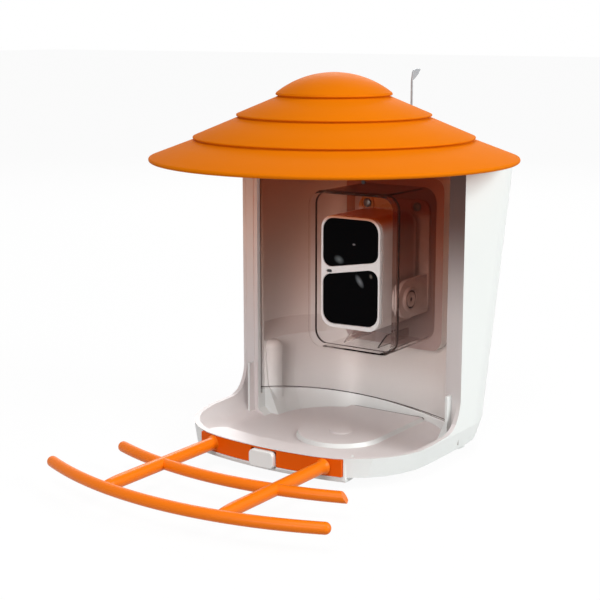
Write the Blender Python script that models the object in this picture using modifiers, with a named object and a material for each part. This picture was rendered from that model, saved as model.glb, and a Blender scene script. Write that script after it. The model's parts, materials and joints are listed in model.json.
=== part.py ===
# Smart bird feeder: housing with tray, clear hopper panel, camera on a tilting arm, perch and hinged roof.
# Metres, +Z up, front towards -Y. The sizes below are measured from the roof's axis and the feet's underside;
# the last lines move the part so that its origin is the middle of its footprint.
import bpy
import bmesh
import math
from mathutils import Matrix, Vector

COLLECTION = "smart_bird_feeder"
GAP = 0.0003
OVERRUN = 0.006
MERGE = 0.00001

# Housing outline and heights
BELLY_Z = 0.0042
SKIRT_Z = 0.0094
RIM_Z = 0.0235
WALL_TOP_Z = 0.2184
HOUSE_HALF = 0.0984
SKIRT_HALF = 0.095
BELLY_INSET = 0.020
FRONT_REACH = 0.090
FRONT_ARC_R = 0.275
BACK_SKIRT_Y = 0.098
CORNER_FRONT_R = 0.065
CORNER_BACK_LOW_R = 0.060
CORNER_BACK_TOP_R = 0.035
WALL = 0.0028
WALL_FRONT_Y = 0.020
WALL_SWEEP_Z = 0.046
WALL_SWEEP_PULL_Y = 0.0165
WALL_SWEEP_LOW_Z = 0.026
WALL_FOOT_Z = 0.0249
RIM_FLAT_Y = -0.038

# Tray bowl: floor, then height and inset from the rim for each step of its side
FLOOR_Z = 0.0064
BOWL_RIM_INSET = 0.0036
BOWL_FRONT_LIP = 0.0046
BOWL_STEP1_Z = 0.0085
BOWL_STEP2_Z = 0.0115
BOWL_STEP3_Z = 0.016
BOWL_FLOOR_INSET = 0.016
BOWL_STEP1_INSET = 0.009
BOWL_STEP2_INSET = 0.004
BOWL_STEP3_INSET = 0.0012

# Raised tongue on the tray floor
TONGUE_TOP_Z = 0.0094
TONGUE_HALF = 0.033
TONGUE_SPREAD = 0.0022
TONGUE_CENTRE_Y = 0.012
TONGUE_BACK_Y = 0.0795
TONGUE_BOSS_R = 0.0095
TONGUE_BOSS_TOP_R = 0.008
TONGUE_BOSS_HIGH = 0.001

# Ledge inside the tray over the perch slot
LEDGE_HALF = 0.0632
LEDGE_DEPTH = 0.024
LEDGE_TOP_Z = 0.022
LEDGE_CORNER = 0.012

# Panel rails and hopper
FLANGE_FRONT_Y = 0.021
GROOVE_FRONT_Y = 0.0247
GROOVE_DEPTH = 0.0028
RIB_DEPTH = 0.0025
RAIL_HALF = 0.0852
GROOVE_HALF = 0.0925
GROOVE_LOW_Z = 0.0235
PAD_LOW_Z = 0.013
PAD_TOP_Z = 0.0505
PAD_PROUD = 0.0007
STRIP_HALF = 0.0886
STRIP_PROUD = 0.0005
FIN_THICK = 0.0018
FIN_LENGTH = 0.0068
CHEEK_X = 0.0834
CHEEK_Y = 0.0396
CHEEK_R = 0.0080
CHEEK_TOP_Z = 0.066
CHEEK_ROUND = 0.0065
HOP_FLOOR_HALF = 0.072
HOP_FLOOR_BACK = 0.085
HOP_FLOOR_R = 0.062
HOP_LOW_Z = 0.030
HOP_LOW_HALF = 0.082
HOP_LOW_BACK = 0.093
HOP_MID_Z = 0.066
HOP_MID_HALF = 0.085
HOP_MID_BACK = 0.100
HOP_MID_R = 0.056
HOP_WIDE_Z = 0.078

# Clear panel and camera pocket
PANEL_THICK = 0.0022
PANEL_HALF = 0.092
PANEL_TOP_Z = 0.217
ARCH_TOP_Z = 0.0369
ARCH_END_Z = 0.0271
POCKET_HALF = 0.0384
POCKET_LOW_Z = 0.0698
POCKET_TOP_Z = 0.1923
POCKET_WALL = 0.002
POCKET_CORNER = 0.012
POCKET_BACK_Y = 0.088
POCKET_LIP = 0.0008
WEDGE_X = 0.0155
WEDGE_THICK = 0.0016
WEDGE_START_Y = 0.040
WEDGE_FULL_Y = 0.053
WEDGE_END_Y = 0.086
WEDGE_HEIGHT = 0.0075
PLUG_X = 0.0106
PLUG_Z = 0.2010
PLUG_R = 0.0010
PLUG_HEAD_R = 0.0017
PLUG_HEAD = 0.0008

# Camera bay in the back wall
BAY_HALF = 0.045
BAY_LOW_Z = 0.062
BAY_TOP_Z = 0.200
BAY_WALL = 0.0022
BAY_CORNER = 0.010

# Camera
CAM_HALF = 0.0262
CAM_LOW_Z = 0.0875
CAM_TOP_Z = 0.1741
CAM_FRONT_Y = 0.0233
CAM_BACK_Y = 0.077
CAM_CORNER = 0.010
CAM_WALL = 0.002
BEZEL_THICK = 0.0033
BEZEL_ROUND = 0.0026
GASKET_THICK = 0.0008
REAR_COVER = 0.0027
WINDOW_HALF = 0.0247
WINDOW_TOP_Z = 0.1723
WINDOW_SPLIT_LEFT_Z = 0.1333
WINDOW_SPLIT_RIGHT_Z = 0.1414
STRIPE = 0.0053
WINDOW_LOW_LEFT_Z = 0.0900
WINDOW_LOW_RIGHT_Z = 0.0912
WINDOW_CORNER = 0.0095
WINDOW_INNER_CORNER = 0.0072
WINDOW_RECESS = 0.0003
MIC_X = -0.0188
MIC_Z = 0.1312
MIC_LENGTH = 0.0050
MIC_R = 0.0011
LENS_X = 0.0032
LENS_Z = 0.1533
LENS_R = 0.007
LENS_CORE_R = 0.0045
LENS_LENGTH = 0.012
LENS_RECESS = 0.002
BOARD_THICK = 0.0016
BOARD_CORNER = 0.0076
SENSOR_BOARD_Y = 0.0290
SENSOR_BOARD_TOP_Z = 0.1315
SENSOR_X = 0.0084
SENSOR_Z = 0.1210
SENSOR_R = 0.0045
SENSOR_LENGTH = 0.0015
MAIN_BOARD_Y = 0.055
CELL_HALF = 0.018
CELL_THICK = 0.010
CELL_LOW_Z = 0.093
CELL_TOP_Z = 0.160
SPEAKER_R = 0.009
SPEAKER_LENGTH = 0.005
SPEAKER_Z = 0.140
POWER_R = 0.003
POWER_Z = 0.118
POWER_PROUD = 0.0009
POWER_TRAVEL = 0.0008
FLAP_HALF = 0.006
FLAP_LOW_Z = 0.1000
FLAP_HEIGHT = 0.006
FLAP_THICK = 0.0012
FLAP_ROOM = 0.0004

# Tilt arm and its clamp
TILT_Y = 0.056
TILT_Z = 0.1096
BOSS_R = 0.0105
BOSS_PROUD = 0.0029
ARM_THICK = 0.0032
ARM_R = 0.015
PLATE_THICK = 0.003
PLATE_LOW_Z = 0.093
PLATE_TOP_Z = 0.182
PLATE_LEFT_X = -0.031
PLATE_RIGHT_X = 0.0335
PLATE_CORNER = 0.008
PIVOT_R = 0.002
PIVOT_DEPTH = 0.0016
KNOB_R = 0.0095
KNOB_THICK = 0.0027
SOCKET_DEPTH = 0.001
SCREW_R = 0.0015
SCREW_HEAD_R = 0.0037
SCREW_HEAD = 0.0018
SCREW_X = 0.0227
SCREW_TOP_Z = 0.1768
SCREW_LOW_Z = 0.1000
SCREW_TAIL = 0.0035

# Perch, its band and the release button
BAND_HALF = 0.061
BAND_LOW_Z = 0.0105
BAND_TOP_Z = 0.0226
BAND_THICK = 0.0034
BAND_SINK = 0.0002
TENON_HALF = 0.050
TENON_LOW_Z = 0.0115
TENON_TOP_Z = 0.0195
TENON_BACK_Y = -0.070
ROD_X = 0.0479
ROD_Z = 0.0167
ROD_R = 0.004
STALK_R = 0.0046
ROD_SEAT = 0.0013
INNER_BAR_Y = -0.1470
INNER_BAR_R = 0.271
INNER_BAR_HALF = 0.0955
OUTER_BAR_Y = -0.2072
OUTER_BAR_R = 0.282
OUTER_BAR_HALF = 0.1175
BUTTON_HALF = 0.0105
BUTTON_LOW_Z = 0.0089
BUTTON_TOP_Z = 0.0213
BUTTON_FRONT_Y = -0.0935
BUTTON_BACK_Y = -0.0884
BUTTON_CORNER = 0.0035
BUTTON_ROUND = 0.0012
BUTTON_ROOM = 0.0004
BUTTON_TRAVEL = 0.002

# Base
COVER_INSET = 0.0025
COVER_LOW_Z = 0.0023
FOOT_R = 0.007
FOOT_X = 0.052
FOOT_FRONT_Y = -0.045
FOOT_BACK_Y = 0.052
INSERT_R = 0.005
INSERT_BORE_R = 0.0032
INSERT_TOP_Z = 0.0070

# Roof
ROOF_APEX_Z = 0.2824
TIER1_R = 0.0425
TIER1_Z = 0.2676
TIER2_R = 0.0712
TIER2_Z = 0.2528
TIER3_R = 0.1028
TIER3_Z = 0.2369
BRIM_R = 0.135
BRIM_Z = 0.2215
TIER_DROP = 0.0018
TIER_STEP = 0.0003
BRIM_LIP = 0.0034
ROOF_SHELL = 0.0027
RIB_IN_R = 0.099
RIB_OUT_R = 0.1015
RIB_LOW_Z = 0.2187
ROOF_STEPS = 52

# Hinge
HINGE_INSET = 0.0055
HINGE_Y = BRIM_R - HINGE_INSET
HINGE_STANDOFF = 0.0059
BACK_TOP_Y = HINGE_Y - HINGE_STANDOFF
HINGE_Z = 0.2145
KNUCKLE_R = 0.0038
HINGE_PIN_R = 0.0015
LUG_IN_X = 0.012
LUG_WIDTH = 0.006
KNUCKLE_WIDTH = 0.006
PIN_HEAD_R = 0.0026
PIN_HEAD = 0.001

# Hooked upright behind the roof
HOOK_INSET = 0.022
HOOK_Y = BRIM_R - HOOK_INSET
HOOK_THICK = 0.0014
HOOK_STEM = 0.0016
HOOK_NECK_Z = 0.2726
# along the blade from its neck, then down from its top
HOOK_BLADE_SHARES = ((0.08, 1.0), (0.22, 0.93), (0.5, 0.7), (0.78, 0.42), (1.0, 0.06), (0.98, 0.0), (0.43, 0.0),
                     (0.24, 0.08), (0.12, 0.28))
HOOK_TOP_Z = 0.2815
HOOK_REACH = 0.0125
HOOK_BASE = 0.009
HOOK_PLATE_WIDTH = 0.012
HOOK_PLATE_LENGTH = 0.012
HOOK_PLATE = 0.002


# Scene and materials
for old in list(bpy.data.objects):
    bpy.data.objects.remove(old, do_unlink=True)
parts = bpy.data.collections.new(COLLECTION)
bpy.context.scene.collection.children.link(parts)
cutters = bpy.data.collections.new("cutters")
bpy.context.scene.collection.children.link(cutters)


def material(name, colour, roughness, metallic=0.0, alpha=1.0):
    mat = bpy.data.materials.new(name)
    mat.use_nodes = True
    shader = mat.node_tree.nodes["Principled BSDF"]
    shader.inputs["Base Color"].default_value = (*colour, 1.0)
    shader.inputs["Roughness"].default_value = roughness
    shader.inputs["Metallic"].default_value = metallic
    shader.inputs["Alpha"].default_value = alpha
    return mat


white = material("white_plastic", (0.78, 0.80, 0.78), 0.42)
orange = material("orange_plastic", (0.90, 0.24, 0.02), 0.42)
deep_orange = material("deep_orange_plastic", (0.75, 0.13, 0.01), 0.42)
clear = material("clear_plastic", (0.80, 0.80, 0.80), 0.06, alpha=0.3)
camera_white = material("camera_white_plastic", (0.85, 0.84, 0.82), 0.35)
black_gloss = material("black_window", (0.004, 0.004, 0.005), 0.08)
black = material("black_plastic", (0.02, 0.02, 0.02), 0.5)
grey = material("light_grey_plastic", (0.62, 0.63, 0.64), 0.45)
steel = material("steel", (0.60, 0.60, 0.58), 0.3, 1.0)
brass = material("brass", (0.75, 0.55, 0.22), 0.3, 1.0)
rubber = material("rubber", (0.03, 0.03, 0.03), 0.8)
board = material("circuit_board", (0.02, 0.12, 0.05), 0.5)
silver = material("cell_wrap", (0.45, 0.46, 0.48), 0.35, 0.6)


# Helpers
def mesh_object(name, bm, mat, where=parts):
    bmesh.ops.recalc_face_normals(bm, faces=bm.faces[:])
    mesh = bpy.data.meshes.new(name)
    bm.to_mesh(mesh)
    bm.free()
    mesh.materials.append(mat)
    obj = bpy.data.objects.new(name, mesh)
    where.objects.link(obj)
    return obj


def as_cutter(obj):
    for holder in list(obj.users_collection):
        holder.objects.unlink(obj)
    cutters.objects.link(obj)
    obj.hide_render = True
    obj.display_type = "WIRE"
    return obj


def boolean(obj, other, operation):
    as_cutter(other)
    mod = obj.modifiers.new(operation.lower(), "BOOLEAN")
    mod.operation = operation
    mod.solver = "EXACT"
    mod.object = other
    return obj


def bevel(obj, width, segments=2, angle=math.radians(40)):
    mod = obj.modifiers.new("bevel", "BEVEL")
    mod.width = width
    mod.segments = segments
    mod.limit_method = "ANGLE"
    mod.angle_limit = angle
    return obj


def bake(obj):
    """Keep the evaluated mesh of an object, so later origins and unions can use it."""
    bpy.context.view_layer.update()
    graph = bpy.context.evaluated_depsgraph_get()
    mesh = bpy.data.meshes.new_from_object(obj.evaluated_get(graph), depsgraph=graph)
    bm = bmesh.new()
    bm.from_mesh(mesh)
    bmesh.ops.remove_doubles(bm, verts=bm.verts[:], dist=MERGE)
    bm.to_mesh(mesh)
    bm.free()
    obj.modifiers.clear()
    obj.data = mesh
    return obj


def smooth(obj, degrees=35):
    obj.data.shade_smooth()
    obj.data.set_sharp_from_angle(angle=math.radians(degrees))
    return obj


def set_origin(obj, point):
    """Move an object's origin to a point on its joint axis, its shape stays where it is."""
    shift = Matrix.Translation(-Vector(point))
    obj.data.transform(shift @ obj.matrix_world)
    obj.matrix_world = Matrix.Translation(Vector(point))
    return obj


def box(name, low, high, mat, where=parts):
    bm = bmesh.new()
    size = [b - a for a, b in zip(low, high)]
    centre = [(a + b) / 2 for a, b in zip(low, high)]
    bmesh.ops.create_cube(bm, size=1.0)
    bmesh.ops.scale(bm, vec=size, verts=bm.verts[:])
    bmesh.ops.translate(bm, vec=centre, verts=bm.verts[:])
    return mesh_object(name, bm, mat, where)


AXIS_TURN = {
    "x": Matrix.Rotation(math.radians(90), 4, "Y"),
    "y": Matrix.Rotation(math.radians(-90), 4, "X"),
    "z": Matrix.Identity(4),
}


def cylinder(name, axis, centre, radius, low, high, mat, segments=32, top_radius=None):
    """A round bar along one axis between two places on it; centre gives the other two coordinates."""
    bm = bmesh.new()
    end = radius if top_radius is None else top_radius
    bmesh.ops.create_cone(bm, cap_ends=True, segments=segments, radius1=radius, radius2=end, depth=high - low)
    bmesh.ops.transform(bm, matrix=AXIS_TURN[axis], verts=bm.verts[:])
    middle = (low + high) / 2
    place = {"x": (middle, centre[0], centre[1]), "y": (centre[0], middle, centre[1]),
             "z": (centre[0], centre[1], middle)}[axis]
    bmesh.ops.translate(bm, vec=place, verts=bm.verts[:])
    return mesh_object(name, bm, mat)


FLAT_TURN = {
    "z": Matrix.Identity(4),
    "y": Matrix.Rotation(math.radians(90), 4, "X"),
    "x": Matrix(((0, 0, 1, 0), (1, 0, 0, 0), (0, 1, 0, 0), (0, 0, 0, 1))),
}


def slab(name, axis, outline, low, high, mat):
    """A flat outline given thickness along an axis. Outline pairs are (x, y), (x, z) or (y, z)."""
    curve = bpy.data.curves.new(name + "_outline", "CURVE")
    curve.dimensions = "2D"
    curve.fill_mode = "BOTH"
    curve.extrude = (high - low) / 2
    line = curve.splines.new("POLY")
    line.points.add(len(outline) - 1)
    for point, (u, v) in zip(line.points, outline):
        point.co = (u, v, 0, 1)
    line.use_cyclic_u = True
    guide = bpy.data.objects.new(name + "_outline", curve)
    parts.objects.link(guide)
    bpy.context.view_layer.update()
    graph = bpy.context.evaluated_depsgraph_get()
    mesh = bpy.data.meshes.new_from_object(guide.evaluated_get(graph), depsgraph=graph)
    bpy.data.objects.remove(guide, do_unlink=True)
    bm = bmesh.new()
    bm.from_mesh(mesh)
    bmesh.ops.remove_doubles(bm, verts=bm.verts[:], dist=MERGE)
    bmesh.ops.dissolve_limit(bm, angle_limit=math.radians(0.5), verts=bm.verts[:], edges=bm.edges[:])
    middle = (low + high) / 2
    place = {"x": (middle, 0, 0), "y": (0, middle, 0), "z": (0, 0, middle)}[axis]
    bmesh.ops.transform(bm, matrix=Matrix.Translation(place) @ FLAT_TURN[axis], verts=bm.verts[:])
    return mesh_object(name, bm, mat)


def rounded(points, radii, steps=5):
    """Round the corners of a closed outline, one radius for each corner."""
    if not hasattr(radii, "__len__"):
        radii = [radii] * len(points)
    out = []
    count = len(points)
    for i in range(count):
        before = Vector(points[i - 1])
        here = Vector(points[i])
        after = Vector(points[(i + 1) % count])
        radius = radii[i]
        if radius <= 0:
            out.append(tuple(here))
            continue
        a = (before - here).normalized()
        b = (after - here).normalized()
        half = math.acos(max(-1.0, min(1.0, a.dot(b)))) / 2
        reach = radius / math.tan(half)
        centre = here + (a + b).normalized() * (radius / math.sin(half))
        start = here + a * reach - centre
        sweep = math.pi - 2 * half
        stop = here + b * reach - centre
        turn = 1 if (start.x * stop.y - start.y * stop.x) > 0 else -1
        for k in range(steps + 1):
            angle = turn * sweep * k / steps
            spun = Vector((start.x * math.cos(angle) - start.y * math.sin(angle),
                           start.x * math.sin(angle) + start.y * math.cos(angle)))
            out.append(tuple(centre + spun))
    return out


def rectangle(x0, x1, y0, y1, radius=0, steps=5):
    corners = [(x0, y0), (x1, y0), (x1, y1), (x0, y1)]
    return rounded(corners, radius, steps) if radius else corners


def loft(name, rings, mat):
    """Skin a stack of rings that have the same count of points, with a flat cap at each end."""
    bm = bmesh.new()
    rows = [[bm.verts.new(p) for p in ring] for ring in rings]
    loops = []
    for row in rows:
        loops.append([bm.edges.new((row[i - 1], row[i])) for i in range(len(row))])
    for one, two in zip(loops, loops[1:]):
        bmesh.ops.bridge_loops(bm, edges=one + two)
    bm.faces.new(rows[0])
    bm.faces.new(rows[-1])
    return mesh_object(name, bm, mat)


def turned(name, profile, mat, steps=32, axis="z", place=(0, 0, 0), bake_it=True):
    """Turn a profile of (radius, height) pairs, listed from its top down its outer side."""
    mesh = bpy.data.meshes.new(name)
    bm = bmesh.new()
    verts = [bm.verts.new((r, 0, z)) for r, z in profile]
    for a, b in zip(verts, verts[1:]):
        bm.edges.new((a, b))
    bm.to_mesh(mesh)
    bm.free()
    mesh.materials.append(mat)
    obj = bpy.data.objects.new(name, mesh)
    parts.objects.link(obj)
    mod = obj.modifiers.new("turn", "SCREW")
    mod.axis = "Z"
    mod.steps = steps
    mod.render_steps = steps
    mod.use_merge_vertices = True
    mod.merge_threshold = MERGE
    mod.use_smooth_shade = True
    obj.matrix_world = Matrix.Translation(place) @ AXIS_TURN[axis]
    if bake_it:
        bake(obj)
        obj.data.transform(obj.matrix_world)
        obj.matrix_world = Matrix.Identity(4)
    return obj


def tube(name, points, radius, mat, resolution=2):
    """A round rod along a run of points, with flat ends."""
    curve = bpy.data.curves.new(name, "CURVE")
    curve.dimensions = "3D"
    curve.bevel_depth = radius
    curve.bevel_resolution = resolution
    curve.use_fill_caps = True
    line = curve.splines.new("POLY")
    line.points.add(len(points) - 1)
    for point, co in zip(line.points, points):
        point.co = (*co, 1)
    guide = bpy.data.objects.new(name + "_guide", curve)
    parts.objects.link(guide)
    bpy.context.view_layer.update()
    graph = bpy.context.evaluated_depsgraph_get()
    mesh = bpy.data.meshes.new_from_object(guide.evaluated_get(graph), depsgraph=graph)
    bpy.data.objects.remove(guide, do_unlink=True)
    bm = bmesh.new()
    bm.from_mesh(mesh)
    bmesh.ops.remove_doubles(bm, verts=bm.verts[:], dist=MERGE)
    return mesh_object(name, bm, mat)


# Housing outlines
def arc_y(x, inset=0.0):
    """Front arc of the housing at a sideways place, moved in by an inset."""
    centre = FRONT_ARC_R - FRONT_REACH
    return centre - math.sqrt((FRONT_ARC_R - inset) ** 2 - x * x)


def arc_points(centre, radius, start, end, steps):
    return [(centre[0] + radius * math.cos(start + (end - start) * k / steps),
             centre[1] + radius * math.sin(start + (end - start) * k / steps)) for k in range(steps + 1)]


def front_points(half, reach, corner, arc_r, steps=7, front_steps=10):
    """Left side, front left corner, front arc, front right corner; from left to right."""
    big = arc_r - reach
    cy = big - math.sqrt((arc_r - corner) ** 2 - (half - corner) ** 2)
    lean = math.atan2(cy - big, -(half - corner))
    left = arc_points((-(half - corner), cy), corner, -math.pi, lean, steps)
    front = arc_points((0, big), arc_r, lean, -math.pi - lean, front_steps)[1:-1]
    right = [(-x, y) for x, y in reversed(left)]
    return left + front + right


def back_points(half, back, corner, steps=7):
    """Right back corner, then left back corner; from right to left."""
    right = arc_points((half - corner, back - corner), corner, 0, math.pi / 2, steps)
    left = [(-x, y) for x, y in reversed(right)]
    return right + left


def back_y(z):
    share = (z - SKIRT_Z) / (WALL_TOP_Z - SKIRT_Z)
    return BACK_SKIRT_Y + (BACK_TOP_Y - BACK_SKIRT_Y) * share


def back_r(z):
    share = (z - SKIRT_Z) / (WALL_TOP_Z - SKIRT_Z)
    return CORNER_BACK_LOW_R + (CORNER_BACK_TOP_R - CORNER_BACK_LOW_R) * share


def full_ring(z, half, reach, back, front_corner, back_corner):
    outline = front_points(half, reach, front_corner, FRONT_ARC_R) + back_points(half, back, back_corner)
    return [(x, y, z) for x, y in outline]


def outer_loft(name, mat):
    high = WALL_TOP_Z
    skirt_reach = FRONT_REACH + GAP
    return loft(name, [
        full_ring(BELLY_Z, SKIRT_HALF - BELLY_INSET, FRONT_REACH - BELLY_INSET, BACK_SKIRT_Y - BELLY_INSET,
                  CORNER_FRONT_R - BELLY_INSET / 2, CORNER_BACK_LOW_R - BELLY_INSET / 2),
        full_ring(SKIRT_Z, SKIRT_HALF, skirt_reach, BACK_SKIRT_Y, CORNER_FRONT_R, CORNER_BACK_LOW_R),
        full_ring(RIM_Z, HOUSE_HALF, FRONT_REACH, back_y(RIM_Z), CORNER_FRONT_R, back_r(RIM_Z)),
        full_ring(high, HOUSE_HALF, FRONT_REACH, back_y(high), CORNER_FRONT_R, back_r(high)),
    ], mat)


# Housing
inner_wall = HOUSE_HALF - WALL
groove_back_y = GROOVE_FRONT_Y + GROOVE_DEPTH
hopper_front_y = groove_back_y + RIB_DEPTH
housing = outer_loft("housing", white)
top_over = WALL_TOP_Z + OVERRUN

# Open front above the tray rim, swept up into the side walls
sweep = []
for k in range(9):
    t = k / 8
    y = (1 - t) ** 2 * WALL_FRONT_Y + 2 * t * (1 - t) * WALL_SWEEP_PULL_Y + t * t * 0
    z = (1 - t) ** 2 * WALL_SWEEP_Z + 2 * t * (1 - t) * WALL_SWEEP_LOW_Z + t * t * WALL_FOOT_Z
    sweep.append((y, z))
far_front = -FRONT_REACH - OVERRUN
mouth = [(WALL_FRONT_Y, top_over)] + sweep + [(RIM_FLAT_Y, RIM_Z), (far_front, RIM_Z), (far_front, top_over)]
boolean(housing, slab("mouth_cut", "x", mouth, -HOUSE_HALF - OVERRUN, HOUSE_HALF + OVERRUN, white), "DIFFERENCE")


def bowl_ring(z, inset):
    half = HOUSE_HALF - BOWL_RIM_INSET - inset
    reach = FRONT_REACH - BOWL_FRONT_LIP - inset
    corner = CORNER_FRONT_R - BOWL_RIM_INSET - inset / 2
    outline = front_points(half, reach, corner, FRONT_ARC_R - BOWL_FRONT_LIP - inset)
    outline = [(half, FLANGE_FRONT_Y), (-half, FLANGE_FRONT_Y)] + outline
    return [(x, y, z) for x, y in outline]


bowl = loft("bowl_cut", [
    bowl_ring(FLOOR_Z, BOWL_FLOOR_INSET),
    bowl_ring(BOWL_STEP1_Z, BOWL_STEP1_INSET),
    bowl_ring(BOWL_STEP2_Z, BOWL_STEP2_INSET),
    bowl_ring(BOWL_STEP3_Z, BOWL_STEP3_INSET),
    bowl_ring(RIM_Z, 0),
    bowl_ring(WALL_SWEEP_Z, WALL - BOWL_RIM_INSET),
    bowl_ring(top_over, WALL - BOWL_RIM_INSET),
], white)
boolean(housing, bowl, "DIFFERENCE")

# Passage between the two rails under and behind the panel
floor_half = HOUSE_HALF - BOWL_RIM_INSET - BOWL_FLOOR_INSET
passage = [(-RAIL_HALF, top_over), (-RAIL_HALF, BOWL_STEP2_Z), (-floor_half, FLOOR_Z),
           (floor_half, FLOOR_Z), (RAIL_HALF, BOWL_STEP2_Z), (RAIL_HALF, top_over)]
boolean(housing, slab("passage_cut", "y", passage, FLANGE_FRONT_Y - GAP, hopper_front_y + GAP, white), "DIFFERENCE")
boolean(housing, box("groove_cut", (-GROOVE_HALF, GROOVE_FRONT_Y, GROOVE_LOW_Z),
                     (GROOVE_HALF, groove_back_y, top_over), white), "DIFFERENCE")


def hopper_ring(z, half, back, corner):
    outline = [(-half, hopper_front_y), (half, hopper_front_y)] + back_points(half, back, corner)
    return [(x, y, z) for x, y in outline]


hopper = loft("hopper_cut", [
    hopper_ring(FLOOR_Z, HOP_FLOOR_HALF, HOP_FLOOR_BACK, HOP_FLOOR_R - (HOP_FLOOR_R + hopper_front_y
                                                                       - HOP_FLOOR_BACK) - GAP),
    hopper_ring(HOP_LOW_Z, HOP_LOW_HALF, HOP_LOW_BACK, HOP_FLOOR_R - GAP),
    hopper_ring(HOP_MID_Z, HOP_MID_HALF, HOP_MID_BACK, HOP_MID_R),
    hopper_ring(HOP_WIDE_Z, inner_wall, back_y(HOP_WIDE_Z) - WALL, back_r(HOP_WIDE_Z) - WALL),
    hopper_ring(top_over, inner_wall, back_y(top_over) - WALL, back_r(top_over) - WALL),
], white)
boolean(housing, hopper, "DIFFERENCE")

# Raised tongue with its round boss
def tongue_ring(z, half):
    nose = arc_points((0, TONGUE_CENTRE_Y), half, math.pi, 2 * math.pi, 16)
    back = TONGUE_BACK_Y + (half - TONGUE_HALF) / 2
    return [(x, y, z) for x, y in nose + [(half, back), (-half, back)]]


tongue = loft("tongue_join", [
    tongue_ring((BELLY_Z + FLOOR_Z) / 2, TONGUE_HALF + TONGUE_SPREAD),
    tongue_ring(TONGUE_TOP_Z, TONGUE_HALF),
], white)
boolean(housing, tongue, "UNION")
boss = cylinder("boss_join", "z", (0, TONGUE_CENTRE_Y), TONGUE_BOSS_R, TONGUE_TOP_Z - TONGUE_BOSS_HIGH / 2,
                TONGUE_TOP_Z + TONGUE_BOSS_HIGH, white, 32, TONGUE_BOSS_TOP_R)
boolean(housing, boss, "UNION")

# Ledge over the perch slot
ledge_steps = 10
ledge = [(LEDGE_HALF * (2 * k / ledge_steps - 1), arc_y(LEDGE_HALF * (2 * k / ledge_steps - 1), BOWL_FRONT_LIP / 2))
         for k in range(ledge_steps + 1)]
ledge_corner = [(LEDGE_HALF, arc_y(LEDGE_HALF, LEDGE_DEPTH)), (-LEDGE_HALF, arc_y(LEDGE_HALF, LEDGE_DEPTH))]
ledge_back = [(LEDGE_HALF * s, arc_y(LEDGE_HALF * s, LEDGE_DEPTH)) for s in (0.6, 0.3, 0.0, -0.3, -0.6)]
ledge_line = ledge + [ledge_corner[0]] + ledge_back + [ledge_corner[1]]
ledge_radii = [0] * len(ledge) + [LEDGE_CORNER] + [0] * len(ledge_back) + [LEDGE_CORNER]
ledge_join = slab("ledge_join", "z", rounded(ledge_line, ledge_radii), (BELLY_Z + FLOOR_Z) / 2 + GAP, LEDGE_TOP_Z, white)
bevel(ledge_join, BOWL_RIM_INSET / 2, 2, math.radians(60))
boolean(housing, ledge_join, "UNION")

# Rail pads at the foot of the panel, a raised strip above each and a fin in front of it
for side in (-1, 1):
    inner, outer = RAIL_HALF + GAP, inner_wall + WALL / 2
    low_x, high_x = sorted((side * inner, side * outer))
    boolean(housing, box("pad_join_%d" % (side + 1), (low_x, FLANGE_FRONT_Y - PAD_PROUD / 2, PAD_LOW_Z),
                         (high_x, FLANGE_FRONT_Y + PAD_PROUD, PAD_TOP_Z), white), "UNION")
    low_x, high_x = sorted((side * STRIP_HALF, side * outer))
    boolean(housing, box("strip_join_%d" % (side + 1), (low_x, FLANGE_FRONT_Y - PAD_PROUD, PAD_TOP_Z - PAD_PROUD),
                         (high_x, FLANGE_FRONT_Y + STRIP_PROUD, WALL_TOP_Z - PAD_PROUD), white), "UNION")
    low_x, high_x = sorted((side * STRIP_HALF, side * (STRIP_HALF + FIN_THICK)))
    fin_root = FLANGE_FRONT_Y + PAD_PROUD / 2
    boolean(housing, box("fin_join_%d" % (side + 1), (low_x, FLANGE_FRONT_Y - FIN_LENGTH, BOWL_STEP1_Z),
                         (high_x, fin_root, PAD_TOP_Z - PAD_PROUD / 2), white), "UNION")

# Rounded cheeks that lead the seed inwards behind the panel's lower corners
for side in (-1, 1):
    cheek_profile = [(0, CHEEK_TOP_Z)]
    cheek_profile += [(CHEEK_R - CHEEK_ROUND + x, CHEEK_TOP_Z - CHEEK_ROUND + z)
                      for x, z in arc_points((0, 0), CHEEK_ROUND, math.pi / 2, 0, 6)]
    cheek_profile += [(CHEEK_R, (BELLY_Z + FLOOR_Z) / 2), (0, (BELLY_Z + FLOOR_Z) / 2)]
    cheek = turned("cheek_join_%d" % (side + 1), cheek_profile, white, 32, "z", (side * CHEEK_X, CHEEK_Y, 0))
    boolean(housing, cheek, "UNION")

# Slot for the band and its tenon, notch for the button
band_back_y = -FRONT_REACH + BAND_THICK
band_cut = slab("band_cut", "z",
                [(x, arc_y(x, BAND_SINK + BAND_THICK + GAP)) for x in
                 [(BAND_HALF + GAP) * (2 * k / 10 - 1) for k in range(11)]]
                + [(BAND_HALF + GAP, far_front), (-BAND_HALF - GAP, far_front)],
                BAND_LOW_Z - GAP, BAND_TOP_Z + GAP, white)
boolean(housing, band_cut, "DIFFERENCE")
boolean(housing, box("tenon_cut", (-TENON_HALF - GAP, far_front, TENON_LOW_Z - GAP),
                     (TENON_HALF + GAP, TENON_BACK_Y + GAP, TENON_TOP_Z + GAP), white), "DIFFERENCE")
boolean(housing, box("button_notch", (-BUTTON_HALF - BUTTON_ROOM, far_front, BUTTON_LOW_Z - BUTTON_ROOM),
                     (BUTTON_HALF + BUTTON_ROOM, BUTTON_BACK_Y + BUTTON_TRAVEL + GAP, TENON_LOW_Z), white),
        "DIFFERENCE")

# Opening for the camera bay
boolean(housing, slab("bay_cut", "y", rectangle(-BAY_HALF, BAY_HALF, BAY_LOW_Z, BAY_TOP_Z, BAY_CORNER),
                      POCKET_BACK_Y + GAP, BACK_TOP_Y + OVERRUN, white), "DIFFERENCE")

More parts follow.
